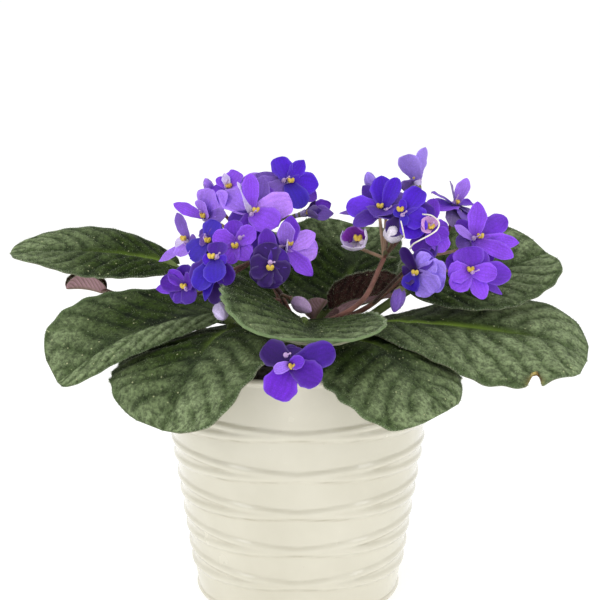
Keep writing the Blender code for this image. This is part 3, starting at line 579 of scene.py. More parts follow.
def add_rings(skin, rings, first, last, **marks):
    """A closed body through equal rings (rings, count, 3) with a point at each end."""
    rings = np.asarray(rings, float)
    total, count = rings.shape[:2]
    middle = total * count
    faces = [loop_faces(total, count), cap_faces(0, count, middle, True),
             cap_faces(middle - count, count, middle + 1, False)]
    for name, value in marks.items():
        if np.ndim(value):
            marks[name] = np.concatenate([value.ravel(), [value[0].mean(), value[-1].mean()]])
    skin.add(np.vstack([rings.reshape(-1, 3), first, last]), faces, **marks)


def add_tube(skin, path, radii, sides=8, **marks):
    directions = tangents(path)
    hint = UP if abs(directions[0][2]) < 0.9 else RIGHT
    across = carried_sides(path, np.cross(hint, directions[0]))
    lift = np.cross(directions, across)
    radii = np.broadcast_to(np.asarray(radii, float), (len(path),))
    around = ring_about(across[:, None], lift[:, None], circle(sides))
    add_rings(skin, path[:, None] + around * radii[:, None, None],
              path[0] - directions[0] * radii[0] * 0.3,
              path[-1] + directions[-1] * radii[-1] * 0.5, **marks)


def add_ball(skin, centre, axis, length, radius, rows=9, count=12, **marks):
    """Ellipsoid about an axis."""
    axis, side, up = across_axes(axis)
    around = ring_about(side, up, circle(count))
    turns = np.linspace(0, math.pi, rows + 2)[1:-1]
    rings = [centre - axis * (0.5 * length * math.cos(turn)) + around * (radius * math.sin(turn))
             for turn in turns]
    add_rings(skin, rings, centre - axis * 0.5 * length, centre + axis * 0.5 * length, **marks)


def add_sheet(skin, upper, lower, **marks):
    """A closed thin body between two grids (rows, columns, 3); marks are (upper, lower) pairs."""
    rows, columns = upper.shape[:2]
    sheet = rows * columns
    row, column = np.meshgrid(np.arange(rows - 1), np.arange(columns - 1), indexing="ij")
    a = (row * columns + column).ravel()
    top = np.stack([a, a + columns, a + columns + 1, a + 1], axis=1)
    edge = np.concatenate([
        np.arange(rows) * columns,
        (rows - 1) * columns + np.arange(1, columns),
        np.arange(rows - 2, -1, -1) * columns + columns - 1,
        np.arange(columns - 2, 0, -1)])
    after = np.roll(edge, -1)
    rim = np.stack([after, edge, edge + sheet, after + sheet], axis=1)
    for name, pair in marks.items():
        marks[name] = np.concatenate([np.broadcast_to(value, (rows, columns)).ravel()
                                      for value in pair])
    skin.add(np.stack([upper, lower]), [top, top[:, ::-1] + sheet, rim], **marks)


def add_hairs(skin, roots, directions, lengths, radius, seed):
    """Slender three-sided spikes, one for each root."""
    directions = unit(directions)
    helper = unit(np.random.default_rng(seed).normal(size=directions.shape))
    across = unit(np.cross(directions, helper))
    other = np.cross(directions, across)
    corners = [roots + ring_about(across, other, angle) * radius for angle in circle(3)]
    points = np.stack([*corners, roots + directions * lengths[:, None]], axis=1)
    first = 4 * np.arange(len(roots))[:, None]
    skin.add(points, [first + corner for corner in ((0, 1, 3), (1, 2, 3), (2, 0, 3), (2, 1, 0))])


# Materials

class Wiring:
    """Short ways to add and link the nodes of a material or of the world."""

    def __init__(self, tree):
        self.tree = tree

    def node(self, kind, **values):
        node = self.tree.nodes.new(kind)
        for name, value in values.items():
            setattr(node, name, value)
        return node

    def link(self, source, target):
        self.tree.links.new(source, target)

    def maths(self, operation, a, b=0.0, clamp=False):
        node = self.node("ShaderNodeMath", operation=operation, use_clamp=clamp)
        for socket, value in zip(node.inputs, (a, b)):
            if isinstance(value, float):
                socket.default_value = value
            else:
                self.link(value, socket)
        return node.outputs[0]

    def scaled(self, value, factor, offset=0.0):
        product = self.maths("MULTIPLY", value, factor)
        return self.maths("ADD", product, offset) if offset else product


class Finish(Wiring):
    """A Principled material whose colour is built up in steps."""

    def __init__(self, name, **sockets):
        self.material = bpy.data.materials.new(name)
        self.material.use_nodes = True
        super().__init__(self.material.node_tree)
        self.shader = self.tree.nodes["Principled BSDF"]
        self.place = self.node("ShaderNodeTexCoord").outputs["Object"]
        for socket, value in sockets.items():
            if isinstance(value, tuple):
                value = (*value, 1.0)
            self.shader.inputs[socket.replace("_", " ")].default_value = value

    def mark(self, name):
        return self.node("ShaderNodeAttribute", attribute_name=name).outputs["Fac"]

    def noise(self, scale, detail=3.0, roughness=0.55):
        node = self.node("ShaderNodeTexNoise")
        self.link(self.place, node.inputs["Vector"])
        for name, value in (("Scale", scale), ("Detail", detail), ("Roughness", roughness)):
            node.inputs[name].default_value = value
        return node.outputs["Fac"]

    def cells(self, scale):
        node = self.node("ShaderNodeTexVoronoi")
        self.link(self.place, node.inputs["Vector"])
        node.inputs["Scale"].default_value = scale
        return node.outputs["Distance"]

    def remap(self, value, low, high, to_low=0.0, to_high=1.0):
        node = self.node("ShaderNodeMapRange", clamp=True)
        self.link(value, node.inputs["Value"])
        for name, number in zip(("From Min", "From Max", "To Min", "To Max"),
                                (low, high, to_low, to_high)):
            node.inputs[name].default_value = number
        return node.outputs["Result"]

    def blend(self, share, a, b):
        node = self.node("ShaderNodeMix", data_type="RGBA")
        self.link(share, node.inputs["Factor"])
        for socket, value in zip([s for s in node.inputs if s.type == "RGBA"], (a, b)):
            if isinstance(value, tuple):
                socket.default_value = (*value, 1.0)
            else:
                self.link(value, socket)
        return next(s for s in node.outputs if s.type == "RGBA")

    def shade(self, colour, factor):
        """Colour made darker or lighter by a factor."""
        node = self.node("ShaderNodeVectorMath", operation="SCALE")
        self.link(colour, node.inputs[0])
        self.link(factor, node.inputs["Scale"])
        return node.outputs[0]

    def toned(self):
        """Colour painted on the points as red, green and blue."""
        node = self.node("ShaderNodeCombineColor")
        for socket, name in zip(node.inputs, ("red", "green", "blue")):
            self.link(self.mark(name), socket)
        return node.outputs[0]

    def bump(self, height, strength, distance):
        node = self.node("ShaderNodeBump")
        node.inputs["Strength"].default_value = strength
        node.inputs["Distance"].default_value = distance
        self.link(height, node.inputs["Height"])
        normal = self.shader.inputs["Normal"]
        if normal.is_linked:
            self.link(normal.links[0].from_socket, node.inputs["Normal"])
        self.link(node.outputs["Normal"], normal)

    def coat(self, colour, roughness):
        self.link(colour, self.shader.inputs["Base Color"])
        self.link(roughness, self.shader.inputs["Roughness"])


def pot_finish():
    finish = Finish("pot_enamel", Base_Color=(0.66, 0.63, 0.52), Roughness=0.2,
                    Coat_Weight=0.5, Coat_Roughness=0.08)
    clouds = finish.remap(finish.noise(22.0, 4.0), 0.35, 0.7)
    colour = finish.blend(clouds, PAINTS["enamel_dull"], PAINTS["enamel_light"])
    # Painted shade beside the rib beads and above the foot bead, stronger below each bead, broken up by a
    # noise
    rib_shade = finish.maths("MULTIPLY", finish.mark("groove"),
                         finish.remap(finish.noise(60.0), 0.3, 0.7))
    colour = finish.blend(finish.scaled(rib_shade, 0.6), colour, PAINTS["rib_shade"])
    flecks = finish.remap(finish.cells(190.0), 0.05, 0.02)
    colour = finish.blend(finish.scaled(flecks, 0.35), colour, PAINTS["fleck"])
    finish.coat(colour, finish.remap(finish.noise(45.0, 5.0), 0.3, 0.75, 0.14, 0.30))
    finish.bump(finish.noise(30.0, 2.0), 0.10, 0.004)
    finish.bump(finish.noise(420.0, 2.0), 0.05, 0.0006)
    return finish.material


def leaf_finish(name, inner, outer, underside, edge_colour, rib_colour):
    """Velvet whose colours go from painted shade in the vein valleys to painted sheen on the raised parts,
    with more painted sheen from the blade's foot to its outer part.
    """
    finish = Finish(name, Roughness=0.68, Sheen_Weight=0.03, Sheen_Roughness=0.4,
                    Sheen_Tint=(0.80, 0.95, 0.60), Specular_IOR_Level=0.12)
    mottle = finish.noise(70.0, 5.0, 0.6)
    # Painted shade in the vein valleys and painted sheen on the raised parts, set by the raised mark and a
    # mottle
    relief = finish.maths("ADD", finish.mark("raised"),
                          finish.remap(mottle, 0.3, 0.7, -0.17, 0.17), clamp=True)
    # Painted sheen, more toward the blade's outer part, with each half's painted light and shade
    spread = finish.maths("ADD", finish.mark("outer"),
                          finish.remap(finish.noise(38.0), 0.3, 0.7, -0.16, 0.16), clamp=True)
    colour = finish.blend(spread, finish.blend(relief, *inner), finish.blend(relief, *outer))
    fuzz = finish.remap(finish.noise(900.0, 3.0, 0.7), 0.55, 0.72)
    colour = finish.blend(finish.scaled(fuzz, 0.16), colour, PAINTS["fuzz"])
    colour = finish.shade(colour, finish.remap(finish.noise(520.0, 3.0, 0.7), 0.38, 0.64, 0.50, 1.35))
    specks = finish.remap(finish.cells(330.0), 0.17, 0.10)
    few = finish.remap(finish.noise(120.0, 1.0), 0.54, 0.62)
    specks = finish.scaled(finish.maths("MULTIPLY", specks, few), 0.6)
    colour = finish.blend(specks, colour, PAINTS["speck"])
    colour = finish.blend(finish.mark("rib"), colour, rib_colour)
    colour = finish.blend(finish.mark("edge"), colour, edge_colour)
    below = finish.blend(finish.mark("vein"), underside, edge_colour)
    colour = finish.blend(finish.mark("under"), colour, below)
    rust = finish.remap(finish.noise(260.0), 0.4, 0.6)
    wounded = finish.blend(rust, PAINTS["rust"], PAINTS["dry_leaf"])
    colour = finish.blend(finish.mark("wound"), colour, wounded)
    finish.coat(colour, finish.remap(mottle, 0.3, 0.7, 0.60, 0.78))
    finish.bump(finish.noise(300.0, 4.0, 0.6), 0.45, 0.0014)
    return finish.material


def mottled_finish(name, scale, roughness, bump=0.2):
    """Finish of two close colours, the name's dark and light paint."""
    finish = Finish(name)
    clouds = finish.noise(scale, 4.0, 0.6)
    colour = finish.blend(finish.remap(clouds, 0.35, 0.68), PAINTS[name + "_dark"],
                          PAINTS[name + "_light"])
    finish.coat(colour, finish.remap(clouds, 0.3, 0.7, roughness - 0.07, roughness + 0.07))
    finish.bump(finish.noise(scale * 6), bump, 0.0008)
    return finish.material


def hair_finish():
    finish = Finish("hair_white", Roughness=0.45, Sheen_Weight=0.3, Specular_IOR_Level=0.5)
    clouds = finish.remap(finish.noise(250.0, 2.0), 0.35, 0.65)
    colour = finish.blend(clouds, PAINTS["hair_green"], PAINTS["hair_pale"])
    finish.link(colour, finish.shader.inputs["Base Color"])
    return finish.material


def petal_finish(name):
    finish = Finish(name, Roughness=0.5, Sheen_Weight=0.10, Sheen_Roughness=0.45,
                    Sheen_Tint=(0.85, 0.80, 1.0), Specular_IOR_Level=0.3)
    clouds = finish.remap(finish.noise(130.0), 0.3, 0.7)
    colour = finish.shade(finish.toned(), finish.scaled(clouds, 0.30, 0.82))
    stripes = finish.maths("SINE", finish.scaled(finish.mark("across"), 17.0))
    stripes = finish.maths("MULTIPLY", stripes, finish.mark("front"))
    colour = finish.shade(colour, finish.scaled(stripes, 0.06, 0.97))
    # Painted glints of the velvety petal cells, a fine noise that mostly lightens the colour
    cell_glints = finish.remap(finish.noise(1500.0, 2.0, 0.7), 0.45, 0.75, 0.92, 1.25)
    colour = finish.shade(colour, cell_glints)
    colour = finish.shade(colour, finish.remap(finish.mark("reach"), 0.0, 0.45, 0.55, 1.0))
    rim = finish.scaled(finish.mark("edge"), 0.26)
    colour = finish.shade(colour, finish.maths("ADD", rim, 1.0))
    colour = finish.blend(finish.scaled(rim, 0.30), colour, PAINTS["petal_rim"])
    back = finish.scaled(finish.maths("SUBTRACT", 1.0, finish.mark("front")), 0.22)
    colour = finish.blend(back, colour, PAINTS["petal_back"])
    finish.coat(colour, finish.remap(clouds, 0.0, 1.0, 0.45, 0.60))
    finish.bump(finish.noise(900.0, 3.0, 0.6), 0.25, 0.0006)
    return finish.material


def stem_finish():
    finish = Finish("stem_skin", Roughness=0.5, Sheen_Weight=0.25, Sheen_Tint=(1.0, 0.92, 0.85),
                    Specular_IOR_Level=0.35)
    clouds = finish.remap(finish.noise(180.0, 4.0), 0.3, 0.7)
    colour = finish.shade(finish.toned(), finish.scaled(clouds, 0.6, 0.7))
    patches = finish.remap(finish.noise(60.0, 2.0), 0.5, 0.7)
    colour = finish.blend(finish.scaled(patches, 0.25), colour, PAINTS["stem_green"])
    finish.coat(colour, finish.remap(clouds, 0.0, 1.0, 0.42, 0.58))
    finish.bump(finish.noise(700.0), 0.3, 0.0006)
    return finish.material


# Pot, soil and crown

def pot_radius(height):
    return POT_BASE_RADIUS + POT_FLARE * height


def rib_swell(height, angle):
    """Bead of the two opposite tilted ribs at each level, and how much painted shade a point gets beside a
    bead, more below it than above.
    """
    swell = np.zeros(np.broadcast(height, angle).shape)
    groove = np.zeros_like(swell)
    for level in RIB_LEVELS:
        for lean in (-1, 1):
            off = height - level - lean * RIB_TILT * np.cos(angle)
            swell = np.maximum(swell, limited(1 - (off / RIB_HALF_WIDTH) ** 2) ** 0.8)
            edge = bell(np.abs(off) - RIB_HALF_WIDTH, GROOVE_WIDTH)
            groove = np.maximum(groove, edge * (off < 0) + 0.4 * edge * (off > 0))
    return swell, groove * (1 - swell)


def build_pot(material):
    angles = circle(POT_COLUMNS)
    rim = pot_radius(POT_HEIGHT)
    foot = [(POT_BASE_RADIUS + out, z) for out, z in FOOT_BEAD]
    mouth = [(rim + out, POT_HEIGHT - down) for out, down in RIM_BEAD]
    inside = [(pot_radius(z) - POT_WALL, z) for z in (112.0, 100.0, 70.0, 35.0, POT_FLOOR)]
    wall = np.linspace(3.6, POT_HEIGHT - 4.2, POT_ROWS)
    swell, groove = rib_swell(wall[:, None], angles[None, :])
    radii = [np.full(POT_COLUMNS, radius) for radius, _ in foot]
    radii += list(pot_radius(wall)[:, None] + RIB_HEIGHT * swell)
    radii += [np.full(POT_COLUMNS, radius) for radius, _ in mouth + inside]
    heights = [z for _, z in foot] + list(wall) + [z for _, z in mouth + inside]
    # Painted shade: beside each rib bead on the wall, and 0.7 in the crease where the foot bead meets the
    # wall
    marks = np.zeros((len(heights), POT_COLUMNS))
    marks[len(foot):len(foot) + POT_ROWS] = groove
    marks[len(foot) - 1] = 0.7
    skin = Skin()
    add_rings(skin, level_points(radii, np.array(heights)[:, None], angles), (0, 0, foot[0][1]),
              (0, 0, POT_FLOOR), groove=marks)
    skin.piece("pot_enamelled", material, ("pot",))


def soil_height(share):
    return SOIL_TOP + SOIL_DOME * (1 - share * share)


def build_soil(material, crumb_material):
    outer = pot_radius(SOIL_TOP) - POT_WALL - GAP
    floor = POT_FLOOR + GAP
    angles = circle(SOIL_COLUMNS)
    rings = [level_points(pot_radius(floor) - POT_WALL - GAP, floor, angles),
             level_points(outer, SOIL_TOP - 0.6, angles)]
    for share in np.linspace(0.985, 0.17, SOIL_ROWS):
        points = level_points(outer * share, soil_height(share), angles)
        fade = min(1.0, (share - 0.15) * 6)
        points[:, 2] += fade * (0.45 * ripple(points, 9.0, 3) + 0.3 * ripple(points, 3.5, 4)) - 0.35
        rings.append(points)
    skin = Skin()
    add_rings(skin, rings, (0, 0, floor), (0, 0, soil_height(0.0) - 0.35))
    skin.piece("soil_peat", material, ("soil",))
    rng = np.random.default_rng(SEEDS["soil"])
    crumbs = Skin()
    tips = np.vstack([RIGHT, -RIGHT, BACK, -BACK, UP, -UP])
    faces = np.array([(0, 2, 4), (2, 1, 4), (1, 3, 4), (3, 0, 4),
                      (2, 0, 5), (1, 2, 5), (3, 1, 5), (0, 3, 5)])
    for _ in range(SOIL_CRUMBS):
        share = math.sqrt(rng.uniform(0.05, 0.93))
        turn = rng.uniform(0, 2 * math.pi)
        size = rng.uniform(0.5, 1.5)
        turned, _ = np.linalg.qr(rng.normal(size=(3, 3)))
        corners = tips * rng.uniform(0.55, 1.0, (6, 1)) * size * rng.uniform(0.5, 1.0, 3)
        centre = level_points(outer * share, soil_height(share) + 0.1, turn)
        crumbs.add(corners @ turned.T + centre, [faces])
    crumbs.piece("soil_crumbs", crumb_material, smooth=False)


def crown_radius(height):
    return np.interp(height, [z for _, z in CROWN_PROFILE], [r for r, _ in CROWN_PROFILE])


def build_crown(material, hair_material):
    angles = circle(CROWN_COLUMNS)
    rings = []
    for height in np.linspace(0.0, CROWN_PROFILE[-1][1], CROWN_ROWS):
        scar = np.sin(3 * angles + height * 0.9) * np.cos(2 * angles - height * 1.3)
        radii = crown_radius(height) * (1 + LEAF_SCAR * (scar - 1))
        rings.append(level_points(radii, CROWN_FOOT + height, angles))
    skin = Skin()
    add_rings(skin, rings, (0, 0, CROWN_FOOT), (0, 0, CROWN_FOOT + CROWN_TOP - 0.3))
    skin.piece("crown_stem", material, ("crown",))
    rng = np.random.default_rng(SEEDS["crown"])
    heights = rng.uniform(1, 25, CROWN_HAIRS)
    turns = rng.uniform(0, 2 * math.pi, CROWN_HAIRS)
    roots = level_points(crown_radius(heights) * 0.96, CROWN_FOOT + heights, turns)
    out = ring_about(RIGHT, BACK, turns)
    hairs = Skin()
    add_hairs(hairs, roots, out + 0.4 * rng.normal(size=out.shape),
              rng.uniform(0.8, 1.8, CROWN_HAIRS), HAIR_RADIUS, SEEDS["crown"] + 1)
    hairs.piece("crown_hairs", hair_material)


# Leaves

def seat(azimuth, height, stem_radius):
    """Point just off the crown's side, where a stem of some radius starts."""
    radius = crown_radius(max(height - stem_radius, 0.0)) + 2.0 * GAP
    return level_points(radius, CROWN_FOOT + height, math.radians(azimuth))


def outline(shares, widest, blunt):
    grown = limited(shares) ** widest
    return limited(1 - np.abs(2 * grown - 1) ** blunt) ** (1 / blunt)


def arc_reach(width, start, end, across):
    """Sideways and upward reach of a half blade whose slope turns from start to end."""
    turn = end - start
    turn = np.where(np.abs(turn) < 0.01, 0.01, turn)
    angle = start + turn * across
    return (width * (np.sin(angle) - np.sin(start)) / turn,
            width * (np.cos(start) - np.cos(angle)) / turn)


def leaf_frame(spec):
    """Petiole path, blade path, its directions, sides and normals, petiole radius and scale."""
    _, turn, height, azimuth, rib, widths = spec[:6]
    level_side = ring_about(RIGHT, BACK, math.radians(azimuth + 90))
    scale = min(1.0, widths[0] / FULL_SIZE_WIDTH)
    radius = PETIOLE_RADIUS * (0.45 + 0.55 * scale)
    start = seat(turn, height, radius)
    away = ring_about(RIGHT, BACK, math.radians(turn)) + 0.15 * UP
    bend = start + away * (0.3 * np.linalg.norm(rib[0] - start))
    stem = smooth_path((start, bend, rib[0], rib[1]), PETIOLE_ROWS)
    blade = smooth_path(rib, BLADE_ROWS)
    nearest = int(np.argmin(np.linalg.norm(stem - blade[0], axis=1)))
    directions = tangents(blade)
    sides = square_to(level_side, directions)
    return (stem[:nearest + 2], blade, directions, sides, np.cross(directions, sides), radius,
            scale)


def leaf_grid(spec):
    """Upper surface of a blade before its relief: points, shares along, signed shares across."""
    widths, left, right, widest, blunt = spec[5:]
    _, blade, directions, sides, normals, radius, _ = leaf_frame(spec)
    shares = np.linspace(0.0, 1.0, BLADE_ROWS)
    even = np.linspace(-1, 1, BLADE_COLUMNS)
    across = 0.5 * np.sin(even * math.pi / 2) + 0.5 * even
    grid = np.zeros((BLADE_ROWS, BLADE_COLUMNS, 3))
    reach = outline(shares, widest, blunt)
    for column, place in enumerate(across):
        hand, width, slopes = (1, widths[0], left) if place < 0 else (-1, widths[1], right)
        start, end = [np.radians(np.interp(shares, np.linspace(0, 1, 3), slope)) for slope in slopes]
        scallop = 1 + 0.018 * place ** 4 * np.sin(shares * 2 * math.pi * VEIN_PAIRS)
        if spec[0] == BITTEN_LEAF and place > 0:
            scallop = scallop - BITE_DEPTH * place ** 6 * bell(shares - BITE_SHARE, 0.022)
        half = np.maximum(width * reach * scallop, np.minimum(radius, 40 * (1 - shares)))
        x, z = arc_reach(half, start, end, abs(place))
        back = -0.24 * width * (1 - shares) ** 4 * place * place
        grid[:, column] = (blade + normals * z[:, None] + directions * back[:, None]
                           + sides * (x * hand)[:, None])
    return grid, shares, across


def leaf_relief(grid, shares, across, size, seed):
    """Height over the smooth blade, nearness to a vein, and how raised a point is, which sets its painted
    sheen and shade.
    """
    share = shares[:, None]
    place = np.abs(across)[None, :]
    wobble = 0.02 * ripple(grid, 26.0, seed)
    phase = (share - VEIN_SWEEP * place ** 1.25 + wobble) * VEIN_PAIRS
    gap = np.abs(phase - np.round(phase)) * 2
    vein = bell(gap, VEIN_WIDTH) * limited((place + 0.1) * 3)
    rib = bell(place * size, RIB_GROOVE)
    pillow = 1 - (1 - limited(gap)) ** 2.2
    cells = ripple(grid, 5.5, seed + 1)
    lift = limited(place * 5) * limited((1 - place) * 5)
    fade = limited(share * 10) * limited((1 - share) * 8)
    height = (PILLOW_HEIGHT * pillow + PUCKER_HEIGHT * cells) * lift * fade - 0.5 * rib * fade
    height += WAVE_HEIGHT * ripple(grid, 60.0, seed + 2) * (0.3 + 0.7 * place) * fade
    height *= min(1.0, size / FULL_RELIEF_WIDTH)
    return height, np.maximum(vein, rib), limited(pillow * lift + 0.25 * cells)


def add_rolled_margin(skin, upper):
    """A bead along both sides of a blade, up to its tip."""
    rows = list(range(BLADE_ROWS - 2, 10, -3))
    path = np.vstack([upper[rows[::-1], 0], upper[rows, -1]]) - UP * 0.5
    swell = np.sin(np.linspace(0, math.pi, len(path))) ** 0.4
    # The bead carries the painted sheen of a raised outer part, and the margin's colour
    add_tube(skin, path, 0.25 + ROLLED_MARGIN * swell, 12, raised=0.9, edge=0.75, outer=1.0)


def build_leaf(spec, material, hair_material, seed):
    name = spec[0]
    stem, _, _, _, frame_normals, radius, scale = leaf_frame(spec)
    grid, shares, across = leaf_grid(spec)
    normals = grid_normals(grid, frame_normals[BLADE_ROWS // 2])
    size = max(spec[5])
    height, vein, raised = leaf_relief(grid, shares, across, size, seed)
    share = shares[:, None]
    place = np.abs(across)[None, :]
    rim = np.maximum(place, limited((share - 0.93) * 14))
    thick = scale * (MARGIN_THICKNESS + (BLADE_THICKNESS - MARGIN_THICKNESS) * (1 - rim ** 3))
    upper = grid + normals * (height * scale)[:, :, None]
    ridge = (radius - thick * 0.5) * (1 - share) ** 2 * bell(place * size, 3.0)
    ridge = ridge + 0.35 * scale * vein * (1 - rim)
    lower = upper - normals * (thick + ridge)[:, :, None]
    rib_glow, rib_reach, margin_glow, *lighter = LEAF_MARKS.get(name, LEAF_MARKS["others"])
    edge = limited((rim - 0.93) * 12) * margin_glow
    rib = bell(place * size, 1.9) * limited((rib_reach - share) * 2.4) * rib_glow
    rib = rib + rib_glow * limited(0.22 - share) * 3.5 * bell(place * size, 6)
    # Painted sheen that grows toward the blade's outer part, with the painted light and shade on each half
    # from LEAF_MARKS
    shift = np.where(across < 0, *lighter)[None, :] * limited(place * 4)
    outer = limited((share - 0.33) * 1.75 + 0.32 * place ** 2 + shift)
    bite = bell(share - BITE_SHARE, 0.035) * limited((place - 0.82) * 7)
    wound = bite * (across > 0) * (name == BITTEN_LEAF)
    skin = Skin()
    add_sheet(skin, upper, lower, raised=(raised, 0.3), edge=(edge, edge * 0.7),
              rib=(limited(rib), 0.0), vein=(vein, vein), under=(0.0, 1.0),
              outer=(outer, outer), wound=(wound, wound))
    # The petiole carries a middling painted sheen
    add_tube(skin, stem, radius, 14, raised=0.5, rib=0.45, under=0.25, outer=0.2)
    if name == ROLLED_LEAF:
        add_rolled_margin(skin, upper)
    skin.piece(name + "_velvet", material, (name,))
    hairs = Skin()
    add_leaf_hairs(hairs, upper, normals, rim, stem, radius, scale, seed)
    hairs.piece(name + "_hairs", hair_material)


def add_leaf_hairs(hairs, upper, normals, rim, stem, radius, scale, seed):
    """Hairs on the blade, then along each margin, then round the petiole."""
    rng = np.random.default_rng(seed + 500)
    area = np.linalg.norm(grid_crosses(upper), axis=2)
    weights = (area * (1 + 2.0 * rim ** 8)).ravel()
    count = int(BLADE_HAIRS * scale)
    chosen = rng.choice(len(weights), count, p=weights / weights.sum())
    roots = upper.reshape(-1, 3)[chosen] + rng.normal(size=(count, 3)) * 0.15
    ups = normals.reshape(-1, 3)[chosen]
    lean = ups + 0.55 * rng.normal(size=ups.shape)
    lengths = rng.uniform(0.5, 1.3, count) * (0.6 + 0.4 * scale)
    add_hairs(hairs, roots - ups * 0.15, lean, lengths, FINE_HAIR_RADIUS, seed)
    rows = rng.integers(4, BLADE_ROWS, int(MARGIN_HAIRS * scale))
    for column, inner in ((0, 3), (BLADE_COLUMNS - 1, -4)):
        outwards = unit(upper[rows, column] - upper[rows, inner])
        lean = outwards + 0.5 * normals[rows, column] * rng.normal(size=(len(rows), 1))
        lean = lean + 0.35 * rng.normal(size=lean.shape)
        roots = upper[rows, column] + rng.normal(size=lean.shape) * 0.25 - outwards * 0.2
        lengths = rng.uniform(0.5, 1.2, len(rows)) * (0.5 + 0.5 * scale)
        add_hairs(hairs, roots, lean, lengths, FINE_HAIR_RADIUS, seed + column)
    count = int(PETIOLE_HAIRS * scale)
    places = rng.integers(1, len(stem) - 1, count)
    out = square_to(unit(rng.normal(size=(count, 3))), tangents(stem)[places])
    lengths = rng.uniform(0.7, 1.8, count)
    add_hairs(hairs, stem[places] + out * radius * 0.95, out, lengths, HAIR_RADIUS, seed + 7)


# Flowers, buds and stalks

def tone_marks(tone, factor=1.0):
    """Painted colour of a tone, turned from screen values to light."""
    light = [factor * (value / 255.0) ** 2.2 for value in TONES[tone]]
    return dict(zip(("red", "green", "blue"), light))


def plain_marks(tone, factor=1.0, reach=1.0, front=1.0):
    """Marks of a part that has no rim and no stripes."""
    return {"reach": reach, "front": front, **tone_marks(tone, factor)}


def petal_profile(share, point):
    """Half width of a petal as a share of its widest, from its foot to its tip."""
    throat = 0.34 + 0.66 * limited(share / 0.55) ** 0.8
    beyond = limited((share - 0.55) / 0.45)
    return throat * limited(1 - beyond ** (2.4 - 0.9 * point)) ** (0.5 + 0.45 * point)


def petal_spine(facing, outwards, length, lift, curl, share):
    """Middle line of a petal and the normals along it."""
    rise = np.radians(lift + curl * share)[:, None]
    step = outwards * np.cos(rise) + facing * np.sin(rise)
    run = np.diff(share)[:, None] * length
    spine = np.vstack([np.zeros(3), np.cumsum((step[:-1] + step[1:]) / 2 * run, axis=0)])
    return spine, facing * np.cos(rise) - outwards * np.sin(rise)


def add_petal(skin, centre, facing, spec, seed, thickness=PETAL_THICKNESS):
    angle, length, width, lift, curl, cup, point, tone, *twist = spec
    facing, side, up = across_axes(facing)
    outwards = ring_about(side, up, math.radians(angle))
    share = 1 - (1 - np.linspace(0, 1, PETAL_ROWS)) ** 1.35  # rows closer at the tip
    spine, normal = petal_spine(facing, outwards, length, lift, curl, share)
    beside = np.cross(facing, outwards)
    lean = np.radians(sum(twist)) * limited(share * 2)[:, None]
    wide = beside * np.cos(lean) + normal * np.sin(lean)
    normal = (normal * np.cos(lean) - beside * np.sin(lean))[:, None]
    even = np.linspace(-1, 1, PETAL_COLUMNS)
    across = 0.4 * np.sin(even * math.pi / 2) + 0.6 * even
    rng = np.random.default_rng(seed)
    waves, start = rng.uniform(1.4, 2.6), rng.uniform(0, 6.28)
    half = np.maximum(0.5 * width * petal_profile(share, point), 0.05)
    scallop = 1 + 0.035 * np.sin(share * 2 * math.pi * (waves + 1.3) + start)
    share = share[:, None]
    ruffle = np.sin(share * 2 * math.pi * waves + start + np.sign(across) * 1.3)
    ruffle = 0.045 * width * ruffle * np.abs(across) ** 3 * share
    height = cup * half[:, None] * across ** 2 + ruffle
    half_grid = (half * scallop)[:, None, None] * across[:, None]
    grid = spine[:, None] + centre + wide[:, None] * half_grid + normal * height[:, :, None]
    crease = 0.25 * bell(across, 0.12) * (1 - share)
    normals = grid_normals(grid, normal)
    rim = np.maximum(np.abs(across), limited((share - 0.9) * 10))
    thick = thickness * (1 - 0.6 * rim ** 4)
    upper = grid + normals * (thick * 0.5 - crease)[:, :, None]
    lower = grid - normals * (thick * 0.5 + crease)[:, :, None]
    if (grid_crosses(upper) * normal).sum() < 0:
        upper, lower, across = upper[:, ::-1], lower[:, ::-1], across[::-1]
    edge = limited((rim - 0.82) * 6)
    colour = {name: (value, value) for name, value in tone_marks(tone).items()}
    add_sheet(skin, upper, lower, reach=(share, share), across=(across, across), edge=(edge, edge),
              front=(1.0, 0.0), **colour)


def flower_base(centre, facing, depth):
    """Point behind a flower where its stem ends."""
    return np.array(centre, float) - unit(facing) * (3.0 + 0.28 * depth)


def add_anthers(skin, place, facing, size):
    """Two swollen lobes, side by side on short filaments."""
    facing, side, up = across_axes(facing)
    for hand in (-1, 1):
        lobe = place + side * (0.95 * hand * size) + facing * 0.4
        axis = up + side * (0.35 * hand) + facing * 0.2
        add_ball(skin, lobe, axis, 3.4 * size, 1.15 * size)
        add_ball(skin, lobe + facing * 0.5 + side * (0.25 * hand), axis, 2.6 * size, 0.7 * size, 7, 10)
        foot = place - facing * 2.6 + side * 0.3 * hand
        add_tube(skin, np.linspace(foot, lobe - up * 0.6, 6), FILAMENT_RADIUS)


def add_pistil(skin, place, facing, side, up):
    """Round ovary, and a thin style with its stigma."""
    marks = plain_marks("mauve", 1.1)
    add_ball(skin, place + facing * 1.2, facing + up * 0.3, 3.2, 1.15, 9, 14, **marks)
    bend = place + facing * 3.4 + side * 0.8
    style = smooth_path((place + facing * 1.5, bend, bend + facing * 1.8 + side * 1.3 + up * 0.4), 12)
    add_tube(skin, style, STYLE_RADIUS, **marks)
    add_ball(skin, style[-1], facing, 0.9, 0.5, 5, 8, **marks)


